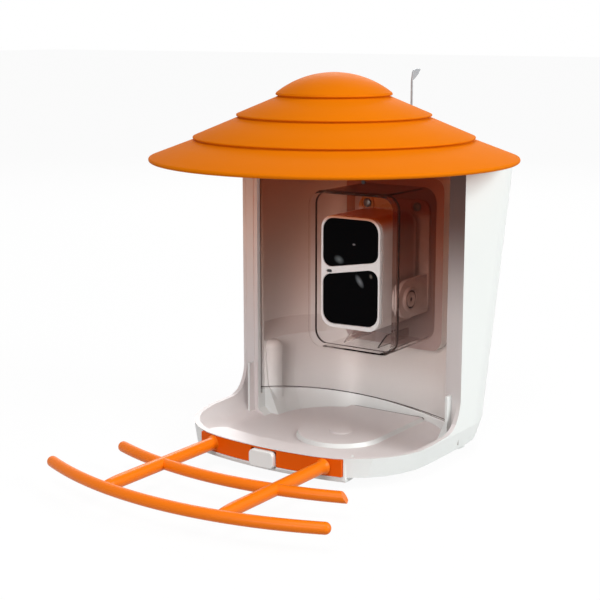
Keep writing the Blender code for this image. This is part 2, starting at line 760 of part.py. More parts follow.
# Bore for the mounting insert
boolean(housing, cylinder("insert_cut", "z", (0, TONGUE_CENTRE_Y), INSERT_R + GAP, BELLY_Z - OVERRUN,
                          INSERT_TOP_Z + GAP, white), "DIFFERENCE")


# Hinge knuckles on the back wall
def ear(name, x0, x1, root_y, root_low_z, root_high_z, mat):
    """A plate with a round end on the hinge axis, its root runs into the wall or the roof."""
    if root_y < HINGE_Y:
        end = arc_points((HINGE_Y, HINGE_Z), KNUCKLE_R, math.pi / 2, -math.pi / 4, 8)
        outline = end + [(root_y, root_low_z), (root_y, root_high_z)]
    else:
        end = arc_points((HINGE_Y, HINGE_Z), KNUCKLE_R, 0, -math.pi, 8)
        outline = end + [(HINGE_Y - KNUCKLE_R, root_high_z), (HINGE_Y + KNUCKLE_R, root_low_z)]
    return slab(name, "x", outline, x0, x1, mat)


ear_foot_z = HINGE_Z - KNUCKLE_R * 3
wall_root_y = back_y(ear_foot_z) - WALL / 2
for side, word in ((-1, "left"), (1, "right")):
    a, b = sorted((side * (LUG_IN_X + LUG_WIDTH + GAP), side * (LUG_IN_X + LUG_WIDTH + GAP + KNUCKLE_WIDTH)))
    knuckle = ear("knuckle_join_" + word, a, b, wall_root_y, ear_foot_z, HINGE_Z + KNUCKLE_R, white)
    boolean(housing, knuckle, "UNION")
    boolean(housing, cylinder("knuckle_bore_" + word, "x", (HINGE_Y, HINGE_Z), HINGE_PIN_R + GAP,
                              a - OVERRUN, b + OVERRUN, white), "DIFFERENCE")

# Base cover, feet and insert
cover_outline = front_points(SKIRT_HALF - BELLY_INSET - COVER_INSET, FRONT_REACH - BELLY_INSET - COVER_INSET,
                             CORNER_FRONT_R - BELLY_INSET / 2 - COVER_INSET, FRONT_ARC_R, 5, 8) \
    + back_points(SKIRT_HALF - BELLY_INSET - COVER_INSET, BACK_SKIRT_Y - BELLY_INSET - COVER_INSET,
                  CORNER_BACK_LOW_R - BELLY_INSET / 2 - COVER_INSET, 5)
base_cover = slab("base_cover", "z", cover_outline, COVER_LOW_Z, BELLY_Z - GAP, white)
boolean(base_cover, cylinder("cover_hole", "z", (0, TONGUE_CENTRE_Y), INSERT_R + GAP, COVER_LOW_Z - OVERRUN,
                             BELLY_Z + OVERRUN, white), "DIFFERENCE")
foot_top = COVER_LOW_Z - GAP
for number, (fx, fy) in enumerate(((-FOOT_X, FOOT_FRONT_Y), (FOOT_X, FOOT_FRONT_Y),
                                   (-FOOT_X, FOOT_BACK_Y), (FOOT_X, FOOT_BACK_Y)), 1):
    foot_round = foot_top / 3
    smooth(turned("foot_%d" % number, [(0, foot_top), (FOOT_R, foot_top), (FOOT_R, foot_round),
                                       (FOOT_R - foot_round, 0), (0, 0)], rubber, 24, "z", (fx, fy, 0)))
smooth(turned("mount_insert", [(INSERT_BORE_R, COVER_LOW_Z), (INSERT_BORE_R, INSERT_TOP_Z), (INSERT_R, INSERT_TOP_Z),
                               (INSERT_R, COVER_LOW_Z), (INSERT_BORE_R, COVER_LOW_Z)], brass, 32, "z",
              (0, TONGUE_CENTRE_Y, 0)))

# Perch band with its tenon
xs = [BAND_HALF * (2 * k / 16 - 1) for k in range(17)]
band_outline = [(x, arc_y(x, BAND_SINK)) for x in xs] + [(x, arc_y(x, BAND_SINK + BAND_THICK)) for x in reversed(xs)]
perch_band = slab("perch_band", "z", band_outline, BAND_LOW_Z, BAND_TOP_Z, deep_orange)
tenon_front = -FRONT_REACH + BAND_SINK + BAND_THICK / 2
tenon = [(x, arc_y(x, BAND_SINK + BAND_THICK / 2)) for x in [TENON_HALF * (2 * k / 10 - 1) for k in range(11)]]
tenon += [(TENON_HALF, TENON_BACK_Y), (-TENON_HALF, TENON_BACK_Y)]
boolean(perch_band, slab("tenon_join", "z", tenon, TENON_LOW_Z, TENON_TOP_Z, deep_orange), "UNION")
pocket_back_y = BUTTON_BACK_Y + BUTTON_TRAVEL + GAP
boolean(perch_band, box("button_pocket", (-BUTTON_HALF - BUTTON_ROOM, far_front, BUTTON_LOW_Z - BUTTON_ROOM),
                        (BUTTON_HALF + BUTTON_ROOM, pocket_back_y, BUTTON_TOP_Z + BUTTON_ROOM), deep_orange),
        "DIFFERENCE")
rod_seat_y = arc_y(ROD_X, BAND_SINK) + ROD_SEAT
for side in (-1, 1):
    boolean(perch_band, cylinder("rod_seat_%d" % (side + 1), "y", (side * ROD_X, ROD_Z), STALK_R + GAP,
                                 far_front, rod_seat_y, deep_orange), "DIFFERENCE")


# Perch rods and bars
def bar_line(apex_y, radius, half, steps):
    reach = math.asin(half / radius)
    return [(radius * math.sin(reach * (2 * k / steps - 1)), apex_y + radius * (1 - math.cos(
        reach * (2 * k / steps - 1))), ROD_Z) for k in range(steps + 1)]


outer_line = bar_line(OUTER_BAR_Y, OUTER_BAR_R, OUTER_BAR_HALF, 16)
inner_line = bar_line(INNER_BAR_Y, INNER_BAR_R, INNER_BAR_HALF, 14)
rod_front_y = OUTER_BAR_Y + OUTER_BAR_R - math.sqrt(OUTER_BAR_R ** 2 - ROD_X ** 2)
perch = tube("perch", outer_line, ROD_R, orange)
boolean(perch, tube("inner_bar", inner_line, ROD_R, orange), "UNION")
for side in (-1, 1):
    rod = [(side * ROD_X, rod_seat_y - GAP, ROD_Z), (side * ROD_X, rod_front_y, ROD_Z)]
    boolean(perch, tube("rod_%d" % (side + 1), rod, STALK_R, orange), "UNION")
smooth(perch)

# Release button
button = slab("release_button", "y", rectangle(-BUTTON_HALF, BUTTON_HALF, BUTTON_LOW_Z, BUTTON_TOP_Z, BUTTON_CORNER),
              BUTTON_FRONT_Y, BUTTON_BACK_Y, white)
bevel(button, BUTTON_ROUND, 2)

# Clear panel with the camera pocket
panel_y = GROOVE_FRONT_Y + GAP
arch = []
for k in range(17):
    x = PANEL_HALF * (2 * k / 16 - 1)
    arch.append((x, ARCH_TOP_Z - (ARCH_TOP_Z - ARCH_END_Z) * (x / RAIL_HALF) ** 2))
panel = slab("clear_panel", "y", arch + [(PANEL_HALF, PANEL_TOP_Z), (-PANEL_HALF, PANEL_TOP_Z)],
             panel_y, panel_y + PANEL_THICK, clear)
pocket_outline = rectangle(-POCKET_HALF, POCKET_HALF, POCKET_LOW_Z, POCKET_TOP_Z, POCKET_CORNER)
boolean(panel, slab("pocket_join", "y", pocket_outline, panel_y - POCKET_LIP, POCKET_BACK_Y, clear), "UNION")
pocket_half = POCKET_HALF - POCKET_WALL
pocket_low = POCKET_LOW_Z + POCKET_WALL
pocket_outline = rectangle(-pocket_half, pocket_half, pocket_low, POCKET_TOP_Z - POCKET_WALL,
                           POCKET_CORNER - POCKET_WALL)
boolean(panel, slab("pocket_cut", "y", pocket_outline, panel_y - OVERRUN, POCKET_BACK_Y + OVERRUN, clear), "DIFFERENCE")
for side in (-1, 1):
    low_z = pocket_low - POCKET_WALL / 2
    wedge = [(WEDGE_START_Y, pocket_low), (WEDGE_FULL_Y, pocket_low + WEDGE_HEIGHT),
             (WEDGE_END_Y, pocket_low + WEDGE_HEIGHT), (WEDGE_END_Y, low_z), (WEDGE_START_Y, low_z)]
    boolean(panel, slab("wedge_%d" % (side + 1), "x", wedge, side * WEDGE_X - WEDGE_THICK / 2,
                        side * WEDGE_X + WEDGE_THICK / 2, clear), "UNION")
boolean(panel, cylinder("plug_hole", "y", (PLUG_X, PLUG_Z), PLUG_R + GAP, panel_y - OVERRUN,
                        panel_y + OVERRUN, clear, 16), "DIFFERENCE")
plug = turned("panel_plug", [(0, PLUG_HEAD), (PLUG_HEAD_R, PLUG_HEAD), (PLUG_HEAD_R, 0), (PLUG_R, 0),
                             (PLUG_R, -GAP - PANEL_THICK), (0, -GAP - PANEL_THICK)], black, 16)
plug.data.transform(Matrix.Translation((PLUG_X, panel_y - GAP, PLUG_Z)) @ Matrix.Rotation(math.radians(90), 4, "X"))
smooth(plug)

# Camera bay
bay_front_y = POCKET_BACK_Y + GAP
bay = slab("camera_bay", "y", rectangle(-BAY_HALF + GAP, BAY_HALF - GAP, BAY_LOW_Z + GAP, BAY_TOP_Z - GAP,
                                        BAY_CORNER - GAP), bay_front_y, BACK_TOP_Y + OVERRUN, white)
trim_low, trim_high = BAY_LOW_Z - OVERRUN, BAY_TOP_Z + OVERRUN
trim_far = BACK_TOP_Y + 2 * OVERRUN
boolean(bay, slab("bay_trim", "x", [(back_y(trim_low), trim_low), (trim_far, trim_low), (trim_far, trim_high),
                                    (back_y(trim_high), trim_high)],
                  -BAY_HALF - OVERRUN, BAY_HALF + OVERRUN, white), "DIFFERENCE")
inset = GAP + BAY_WALL
boolean(bay, slab("bay_hollow", "y", rectangle(-BAY_HALF + inset, BAY_HALF - inset, BAY_LOW_Z + inset,
                                               BAY_TOP_Z - inset, BAY_CORNER - inset),
                  bay_front_y + BAY_WALL, BACK_TOP_Y + OVERRUN, white), "DIFFERENCE")

# Tilt bracket, plate against the bay and arm to the camera's right side
plate_back_y = bay_front_y - GAP
plate_front_y = plate_back_y - PLATE_THICK
plate = rounded([(PLATE_LEFT_X, PLATE_LOW_Z), (PLATE_RIGHT_X, PLATE_LOW_Z), (PLATE_RIGHT_X, PLATE_TOP_Z),
                 (PLATE_LEFT_X, PLATE_TOP_Z)], PLATE_CORNER)
bracket = slab("tilt_bracket", "y", plate, plate_front_y, plate_back_y, camera_white)
arm_x = CAM_HALF + BOSS_PROUD + GAP
arm_end = arc_points((TILT_Y, TILT_Z), ARM_R, 1.5 * math.pi, 0.5 * math.pi, 14)
arm = arm_end + [(plate_back_y - PLATE_THICK / 2, TILT_Z + ARM_R), (plate_back_y - PLATE_THICK / 2, TILT_Z - ARM_R)]
boolean(bracket, slab("arm_join", "x", arm, arm_x, arm_x + ARM_THICK, camera_white), "UNION")
boolean(bracket, cylinder("arm_bore", "x", (TILT_Y, TILT_Z), PIVOT_R + GAP, arm_x - OVERRUN,
                          arm_x + ARM_THICK + OVERRUN, camera_white), "DIFFERENCE")
knob_x = arm_x + ARM_THICK + GAP
knob = turned("pivot_knob", [(PIVOT_R + GAP, 0), (PIVOT_R + GAP, KNOB_THICK), (KNOB_R - KNOB_THICK / 4, KNOB_THICK),
                             (KNOB_R, KNOB_THICK * 0.75), (KNOB_R, 0), (PIVOT_R + GAP, 0)],
              camera_white, 32, "x", (knob_x, TILT_Y, TILT_Z))
smooth(knob)
set_origin(knob, (knob_x, TILT_Y, TILT_Z))
screw_x = CAM_HALF - PIVOT_DEPTH
pivot = cylinder("pivot_screw", "x", (TILT_Y, TILT_Z), PIVOT_R, screw_x, knob_x + KNOB_THICK - SOCKET_DEPTH, steel)
smooth(pivot)
set_origin(pivot, (knob_x, TILT_Y, TILT_Z))

# Bracket screws
screw_places = ((-SCREW_X, SCREW_TOP_Z), (SCREW_X, SCREW_TOP_Z), (-SCREW_X, SCREW_LOW_Z), (SCREW_X, SCREW_LOW_Z))
for number, (sx, sz) in enumerate(screw_places, 1):
    tail = plate_front_y - GAP
    length = PLATE_THICK + GAP + BAY_WALL + SCREW_TAIL
    profile = [(0, SCREW_HEAD), (SCREW_HEAD_R * 0.6, SCREW_HEAD * 0.9), (SCREW_HEAD_R * 0.9, SCREW_HEAD * 0.55),
               (SCREW_HEAD_R, 0), (SCREW_R, 0), (SCREW_R, -length), (0, -length)]
    obj = turned("bracket_screw_%d" % number, profile, camera_white, 24)
    obj.data.transform(Matrix.Translation((sx, tail, sz)) @ Matrix.Rotation(math.radians(90), 4, "X"))
    smooth(obj)
    for owner, holder in (("plate", bracket), ("bay", bay)):
        boolean(holder, cylinder("screw_hole_%s_%d" % (owner, number), "y", (sx, sz), SCREW_R + GAP,
                                 plate_front_y - OVERRUN, bay_front_y + BAY_WALL + OVERRUN, camera_white, 16),
                "DIFFERENCE")

# Camera shell
tilt_point = (0, TILT_Y, TILT_Z)
cam_outline = rectangle(-CAM_HALF, CAM_HALF, CAM_LOW_Z, CAM_TOP_Z, CAM_CORNER, 6)
shell_in = CAM_HALF - CAM_WALL
inner_outline = rectangle(-shell_in, shell_in, CAM_LOW_Z + CAM_WALL, CAM_TOP_Z - CAM_WALL, CAM_CORNER - CAM_WALL)
bezel_back_y = CAM_FRONT_Y + BEZEL_THICK
body_front_y = bezel_back_y + GAP + GASKET_THICK + GAP
cover_front_y = CAM_BACK_Y - REAR_COVER
body_back_y = cover_front_y - GAP
body = slab("camera_body", "y", cam_outline, body_front_y, body_back_y, camera_white)
boolean(body, cylinder("boss_join", "x", (TILT_Y, TILT_Z), BOSS_R, CAM_HALF - CAM_WALL / 2, CAM_HALF + BOSS_PROUD,
                       camera_white), "UNION")
boolean(body, slab("body_hollow", "y", inner_outline, body_front_y - OVERRUN, body_back_y + OVERRUN, camera_white),
        "DIFFERENCE")
boolean(body, cylinder("boss_bore", "x", (TILT_Y, TILT_Z), PIVOT_R + GAP, CAM_HALF - CAM_WALL - OVERRUN,
                       CAM_HALF + BOSS_PROUD + OVERRUN, camera_white), "DIFFERENCE")
bake(body)
set_origin(body, tilt_point)

# Camera front with two slanted windows
def window_outline(grow, upper):
    half = WINDOW_HALF + grow
    if upper:
        corners = [(-half, WINDOW_SPLIT_LEFT_Z - grow), (half, WINDOW_SPLIT_RIGHT_Z - grow),
                   (half, WINDOW_TOP_Z + grow), (-half, WINDOW_TOP_Z + grow)]
        radii = [WINDOW_INNER_CORNER, WINDOW_INNER_CORNER, WINDOW_CORNER, WINDOW_CORNER]
    else:
        corners = [(-half, WINDOW_LOW_LEFT_Z - grow), (half, WINDOW_LOW_RIGHT_Z - grow),
                   (half, WINDOW_SPLIT_RIGHT_Z - STRIPE + grow), (-half, WINDOW_SPLIT_LEFT_Z - STRIPE + grow)]
        radii = [WINDOW_CORNER, WINDOW_CORNER, WINDOW_INNER_CORNER, WINDOW_INNER_CORNER]
    return rounded(corners, [r + grow for r in radii])


bezel = slab("camera_bezel", "y", cam_outline, CAM_FRONT_Y, bezel_back_y, camera_white)
for upper, word in ((True, "upper"), (False, "lower")):
    boolean(bezel, slab(word + "_window_cut", "y", window_outline(0, upper), CAM_FRONT_Y - OVERRUN,
                        bezel_back_y + OVERRUN, camera_white), "DIFFERENCE")
    pane = slab(word + "_window", "y", window_outline(-GAP, upper), CAM_FRONT_Y + WINDOW_RECESS, bezel_back_y, black_gloss)
    set_origin(pane, tilt_point)
mic = rectangle(MIC_X - MIC_LENGTH / 2, MIC_X + MIC_LENGTH / 2, MIC_Z - MIC_R, MIC_Z + MIC_R, MIC_R * 0.95)
boolean(bezel, slab("mic_cut", "y", mic, CAM_FRONT_Y - OVERRUN, CAM_FRONT_Y + BEZEL_THICK / 2, camera_white), "DIFFERENCE")
bake(bezel)
set_origin(bezel, tilt_point)
gasket_y = bezel_back_y + GAP
gasket = slab("camera_gasket", "y", rectangle(-CAM_HALF + GAP, CAM_HALF - GAP, CAM_LOW_Z + GAP, CAM_TOP_Z - GAP,
                                              CAM_CORNER - GAP), gasket_y, gasket_y + GASKET_THICK, rubber)
boolean(gasket, slab("gasket_cut", "y", rectangle(-shell_in + CAM_WALL, shell_in - CAM_WALL, CAM_LOW_Z + 2 * CAM_WALL,
                                                  CAM_TOP_Z - 2 * CAM_WALL, CAM_CORNER - 2 * CAM_WALL),
                     gasket_y - OVERRUN, gasket_y + OVERRUN, rubber), "DIFFERENCE")
bake(gasket)
set_origin(gasket, tilt_point)

# Camera inner pieces
lens_y = gasket_y
lens = turned("lens_barrel", [(0, -LENS_RECESS), (LENS_CORE_R, -LENS_RECESS), (LENS_CORE_R, 0), (LENS_R, 0),
                              (LENS_R, -LENS_LENGTH), (0, -LENS_LENGTH)], black, 32)
lens.data.transform(Matrix.Translation((LENS_X, lens_y, LENS_Z)) @ Matrix.Rotation(math.radians(90), 4, "X"))
smooth(lens)
set_origin(lens, tilt_point)
image_board_y = lens_y + LENS_LENGTH + GAP
board_half = shell_in - GAP
inner_low, inner_top = CAM_LOW_Z + CAM_WALL + GAP, CAM_TOP_Z - CAM_WALL - GAP
for name, y, low, top in (("image_board", image_board_y, SENSOR_BOARD_TOP_Z, inner_top),
                          ("infrared_board", SENSOR_BOARD_Y, inner_low, SENSOR_BOARD_TOP_Z),
                          ("main_board", MAIN_BOARD_Y, inner_low, inner_top)):
    set_origin(slab(name, "y", rectangle(-board_half, board_half, low, top, BOARD_CORNER), y, y + BOARD_THICK, board),
               tilt_point)
eye = cylinder("motion_sensor", "y", (SENSOR_X, SENSOR_Z), SENSOR_R, SENSOR_BOARD_Y - GAP - SENSOR_LENGTH,
               SENSOR_BOARD_Y - GAP, grey)
smooth(eye)
set_origin(eye, tilt_point)
cell = slab("battery_cell", "y", rectangle(-CELL_HALF, CELL_HALF, CELL_LOW_Z, CELL_TOP_Z, BOARD_CORNER / 2),
            MAIN_BOARD_Y - GAP - CELL_THICK, MAIN_BOARD_Y - GAP, silver)
set_origin(cell, tilt_point)
speaker_y = MAIN_BOARD_Y + BOARD_THICK + GAP
speaker = cylinder("speaker", "y", (0, SPEAKER_Z), SPEAKER_R, speaker_y, speaker_y + SPEAKER_LENGTH, black)
smooth(speaker)
set_origin(speaker, tilt_point)

# Camera rear cover with the power button and the charging flap
rear = slab("camera_rear_cover", "y", cam_outline, cover_front_y, CAM_BACK_Y, camera_white)
boolean(rear, cylinder("power_bore", "y", (0, POWER_Z), POWER_R + GAP, cover_front_y - OVERRUN,
                       CAM_BACK_Y + OVERRUN, camera_white), "DIFFERENCE")
flap_top_z = FLAP_LOW_Z + FLAP_HEIGHT
boolean(rear, box("flap_cut", (-FLAP_HALF - FLAP_ROOM, CAM_BACK_Y - FLAP_THICK - FLAP_ROOM, FLAP_LOW_Z - FLAP_ROOM),
                  (FLAP_HALF + FLAP_ROOM, CAM_BACK_Y + OVERRUN, flap_top_z + FLAP_ROOM), camera_white), "DIFFERENCE")
bake(rear)
set_origin(rear, tilt_point)
power = cylinder("power_button", "y", (0, POWER_Z), POWER_R, cover_front_y + POWER_TRAVEL / 2,
                 CAM_BACK_Y + POWER_PROUD, grey)
smooth(power)
set_origin(power, (0, CAM_BACK_Y, POWER_Z))
flap_r = FLAP_THICK / 2
flap_y = CAM_BACK_Y - flap_r
flap_z = FLAP_LOW_Z + flap_r
flap_line = arc_points((flap_y, flap_z), flap_r, -math.pi, 0, 6) + [(flap_y + flap_r, flap_top_z),
                                                                   (flap_y - flap_r, flap_top_z)]
flap = slab("usb_flap", "x", flap_line, -FLAP_HALF, FLAP_HALF, rubber)
set_origin(flap, (0, flap_y, flap_z))

# Roof
cap_rise = ROOF_APEX_Z - TIER1_Z
cap_r = (TIER1_R ** 2 + cap_rise ** 2) / (2 * cap_rise)
cap_angle = math.asin(TIER1_R / cap_r)
profile = [(cap_r * math.sin(cap_angle * k / 8), ROOF_APEX_Z - cap_r * (1 - math.cos(cap_angle * k / 8)))
           for k in range(8)]
for r, z in ((TIER1_R, TIER1_Z), (TIER2_R, TIER2_Z), (TIER3_R, TIER3_Z)):
    profile += [(r, z), (r, z - TIER_DROP), (r - TIER_STEP, z - TIER_DROP)]
lip_r = BRIM_LIP / 2
lip_z = BRIM_Z - lip_r / 2
profile += [(BRIM_R - lip_r + lip_r * math.cos(a), lip_z + lip_r * math.sin(a))
            for a in [math.radians(d) for d in (68, 30, 0, -35, -80)]]
brim_in_r = BRIM_R - 2 * lip_r
slope = (TIER3_Z - TIER_DROP - BRIM_Z) / (BRIM_R - TIER3_R + TIER_STEP)


def under(r):
    return TIER3_Z - TIER_DROP - ROOF_SHELL - slope * (r - TIER3_R + TIER_STEP)


profile += [(brim_in_r, under(brim_in_r)), (TIER3_R - TIER_STEP, under(TIER3_R - TIER_STEP))]
profile += [(RIB_OUT_R, under(RIB_OUT_R)), (RIB_OUT_R, RIB_LOW_Z), (RIB_IN_R, RIB_LOW_Z), (RIB_IN_R, under(RIB_IN_R))]
profile += [(TIER2_R - TIER_STEP, TIER2_Z - TIER_DROP - ROOF_SHELL), (TIER1_R - TIER_STEP, TIER1_Z - TIER_DROP - ROOF_SHELL)]
under_rise = ROOF_APEX_Z - ROOF_SHELL - (TIER1_Z - TIER_DROP - ROOF_SHELL)
under_r = TIER1_R - TIER_STEP
profile += [(under_r * s, ROOF_APEX_Z - ROOF_SHELL - under_rise * s * s) for s in (0.75, 0.5, 0.25, 0.0)]
roof = turned("roof", profile, orange, ROOF_STEPS)
for side, word in ((-1, "left"), (1, "right")):
    a, b = sorted((side * LUG_IN_X, side * (LUG_IN_X + LUG_WIDTH)))
    back_top = under(HINGE_Y + KNUCKLE_R) + ROOF_SHELL / 2
    front_top = under(HINGE_Y - KNUCKLE_R) + ROOF_SHELL / 2
    boolean(roof, ear("lug_join_" + word, a, b, HINGE_Y + KNUCKLE_R, back_top, front_top, orange), "UNION")
    boolean(roof, cylinder("lug_bore_" + word, "x", (HINGE_Y, HINGE_Z), HINGE_PIN_R + GAP, a - OVERRUN,
                           b + OVERRUN, orange), "DIFFERENCE")
    pin_in = LUG_IN_X
    pin_out = LUG_IN_X + LUG_WIDTH + GAP + KNUCKLE_WIDTH + GAP
    pin = turned("hinge_pin_" + word, [(0, pin_out + PIN_HEAD), (PIN_HEAD_R, pin_out + PIN_HEAD), (PIN_HEAD_R, pin_out),
                                       (HINGE_PIN_R, pin_out), (HINGE_PIN_R, pin_in), (0, pin_in)], steel, 24)
    pin.data.transform(Matrix.Translation((0, HINGE_Y, HINGE_Z)) @ Matrix.Rotation(side * math.radians(90), 4, "Y"))
    smooth(pin)
bake(roof)
smooth(roof, 30)
set_origin(roof, (0, HINGE_Y, HINGE_Z))



# Height and fall of the roof's top at a radius, on whichever step lies there
def roof_top(r):
    edges = ((TIER1_R, TIER1_Z), (TIER2_R, TIER2_Z), (TIER3_R, TIER3_Z), (BRIM_R, BRIM_Z))
    for (r_in, z_in), (r_out, z_out) in zip(edges, edges[1:]):
        fall = (z_in - TIER_DROP - z_out) / (r_out - r_in + TIER_STEP)
        if r <= r_out:
            break
    return z_in - TIER_DROP - fall * (r - r_in + TIER_STEP), fall


# Hooked upright on the roof's rear slope
seat_z, seat_fall = roof_top(HOOK_Y)
slope_angle = math.atan(seat_fall)
lift = (HOOK_PLATE / 2 + GAP) / math.cos(slope_angle)
half_stem = HOOK_STEM / 2
base_z = seat_z + lift
hook_line = [(HOOK_Y - HOOK_BASE / 2, base_z + seat_fall * HOOK_BASE / 2),
             (HOOK_Y + HOOK_BASE / 2, base_z - seat_fall * HOOK_BASE / 2),
             (HOOK_Y + half_stem, base_z + HOOK_BASE), (HOOK_Y + half_stem, HOOK_NECK_Z - half_stem)]
blade_high = HOOK_TOP_Z - HOOK_NECK_Z
hook_line += [(HOOK_Y - half_stem + (HOOK_REACH + half_stem) * along, HOOK_TOP_Z - blade_high * down)
              for along, down in HOOK_BLADE_SHARES]
hook_line += [(HOOK_Y - half_stem, HOOK_NECK_Z), (HOOK_Y - half_stem, base_z + HOOK_BASE)]
hook = slab("rear_hook", "x", hook_line, -HOOK_THICK / 2, HOOK_THICK / 2, grey)
plate_bm = bmesh.new()
bmesh.ops.create_cube(plate_bm, size=1.0)
bmesh.ops.scale(plate_bm, vec=(HOOK_PLATE_WIDTH, HOOK_PLATE_LENGTH, HOOK_PLATE), verts=plate_bm.verts[:])
place = Matrix.Translation((0, HOOK_Y, base_z)) @ Matrix.Rotation(-slope_angle, 4, "X")
bmesh.ops.transform(plate_bm, matrix=place, verts=plate_bm.verts[:])
boolean(hook, mesh_object("hook_plate", plate_bm, grey), "UNION")
bake(hook)
set_origin(hook, (0, HINGE_Y, HINGE_Z))

smooth(housing, 30)

# The whole part stands with its box centred over the origin
base_point = bpy.data.objects.new("base_point", None)
bpy.context.scene.collection.objects.link(base_point)
base_point.location = (0, (ROD_R - OUTER_BAR_Y - BRIM_R) / 2, 0)
for group in (parts, cutters):
    for piece in group.objects:
        piece.parent = base_point
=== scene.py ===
import json
import math
import bpy
import bmesh
from mathutils import Matrix, Vector


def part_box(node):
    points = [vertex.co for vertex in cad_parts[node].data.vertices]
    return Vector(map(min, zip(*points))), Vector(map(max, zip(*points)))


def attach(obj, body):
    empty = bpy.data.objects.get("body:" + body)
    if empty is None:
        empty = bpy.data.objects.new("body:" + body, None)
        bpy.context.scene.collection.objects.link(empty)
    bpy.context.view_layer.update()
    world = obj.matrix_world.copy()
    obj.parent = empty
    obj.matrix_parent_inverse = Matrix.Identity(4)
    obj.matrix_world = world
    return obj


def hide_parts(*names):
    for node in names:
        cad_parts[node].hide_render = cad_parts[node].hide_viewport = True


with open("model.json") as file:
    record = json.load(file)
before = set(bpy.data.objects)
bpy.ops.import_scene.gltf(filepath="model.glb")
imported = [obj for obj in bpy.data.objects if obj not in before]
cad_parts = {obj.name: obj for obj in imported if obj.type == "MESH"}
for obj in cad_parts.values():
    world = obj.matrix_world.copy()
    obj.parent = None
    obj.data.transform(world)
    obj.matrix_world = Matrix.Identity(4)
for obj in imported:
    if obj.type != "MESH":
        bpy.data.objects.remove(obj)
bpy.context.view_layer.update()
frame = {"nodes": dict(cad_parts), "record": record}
nodes = frame["nodes"]
bodyOf = {n: body for body, members in frame["record"]["behaviour"]["bodies"].items() for n in members}
sides = {"Left": -1, "Right": 1}
print("frame loaded:", len(nodes), "nodes")

# camera, matched to the photograph
cameraLook = {"lens": 81.81, "sensor": 36, "near": 0.05, "place": (0.5438, -0.7995, 0.3164),
              "pitch": 78.555, "turn": 34.41}
cameraData = bpy.data.cameras.new("photoCamera")
cameraData.lens = cameraLook["lens"]
cameraData.sensor_width = cameraLook["sensor"]
cameraData.clip_start = cameraLook["near"]
photoCamera = bpy.data.objects.new("photoCamera", cameraData)
bpy.context.scene.collection.objects.link(photoCamera)
photoCamera.location = cameraLook["place"]
photoCamera.rotation_euler = (math.radians(cameraLook["pitch"]), 0, math.radians(cameraLook["turn"]))
bpy.context.scene.camera = photoCamera
bpy.context.scene.view_settings.view_transform = "Standard"
print("camera set")


def emptyMaterial(name):
    mat = bpy.data.materials.new(name)
    mat.use_nodes = True
    tree = mat.node_tree
    shader = tree.nodes["Principled BSDF"]
    return mat, tree, shader


def objectNoise(tree, scale, detail, stretch=(1, 1, 1)):
    coords = tree.nodes.new("ShaderNodeTexCoord")
    mapping = tree.nodes.new("ShaderNodeMapping")
    mapping.inputs["Scale"].default_value = stretch
    noise = tree.nodes.new("ShaderNodeTexNoise")
    noise.inputs["Scale"].default_value = scale
    noise.inputs["Detail"].default_value = detail
    tree.links.new(coords.outputs["Object"], mapping.inputs["Vector"])
    tree.links.new(mapping.outputs["Vector"], noise.inputs["Vector"])
    return noise.outputs["Fac"]


# 0 below the first height and 1 above the second
def heightRamp(tree, heights):
    coords = tree.nodes.new("ShaderNodeTexCoord")
    parts = tree.nodes.new("ShaderNodeSeparateXYZ")
    rise = tree.nodes.new("ShaderNodeMapRange")
    rise.interpolation_type = "SMOOTHSTEP"
    rise.inputs["From Min"].default_value = heights[0]
    rise.inputs["From Max"].default_value = heights[1]
    tree.links.new(coords.outputs["Object"], parts.inputs[0])
    tree.links.new(parts.outputs["Z"], rise.inputs["Value"])
    return rise.outputs["Result"]


# a Mix node's sockets when it mixes colours
mixSockets = {"share": 0, "low": 6, "high": 7, "result": 2}


# low where the share is 0, high where it is 1; each is a colour or another node's output
def colourMix(tree, share, low, high):
    mix = tree.nodes.new("ShaderNodeMix")
    mix.data_type = "RGBA"
    tree.links.new(share, mix.inputs[mixSockets["share"]])
    for end, colour in (("low", low), ("high", high)):
        socket = mix.inputs[mixSockets[end]]
        if isinstance(colour, bpy.types.NodeSocket):
            tree.links.new(colour, socket)
        else:
            socket.default_value = (*colour, 1)
    return mix.outputs[mixSockets["result"]]


# roughness that wanders with a noise from the first value to the second
def patchyRoughness(tree, shader, noise, roughness):
    rough = tree.nodes.new("ShaderNodeMapRange")
    rough.inputs["To Min"].default_value = roughness[0]
    rough.inputs["To Max"].default_value = roughness[1]
    tree.links.new(noise, rough.inputs["Value"])
    tree.links.new(rough.outputs["Result"], shader.inputs["Roughness"])


# the share of each lamp's light, by colour, that one wall lets through
def letLightThrough(tree, shader, colour):
    path = tree.nodes.new("ShaderNodeLightPath")
    clear = tree.nodes.new("ShaderNodeBsdfTransparent")
    clear.inputs["Color"].default_value = (*colour, 1)
    blend = tree.nodes.new("ShaderNodeMixShader")
    tree.links.new(path.outputs["Is Shadow Ray"], blend.inputs[0])
    tree.links.new(shader.outputs["BSDF"], blend.inputs[1])
    tree.links.new(clear.outputs["BSDF"], blend.inputs[2])
    tree.links.new(blend.outputs[0], tree.nodes["Material Output"].inputs["Surface"])


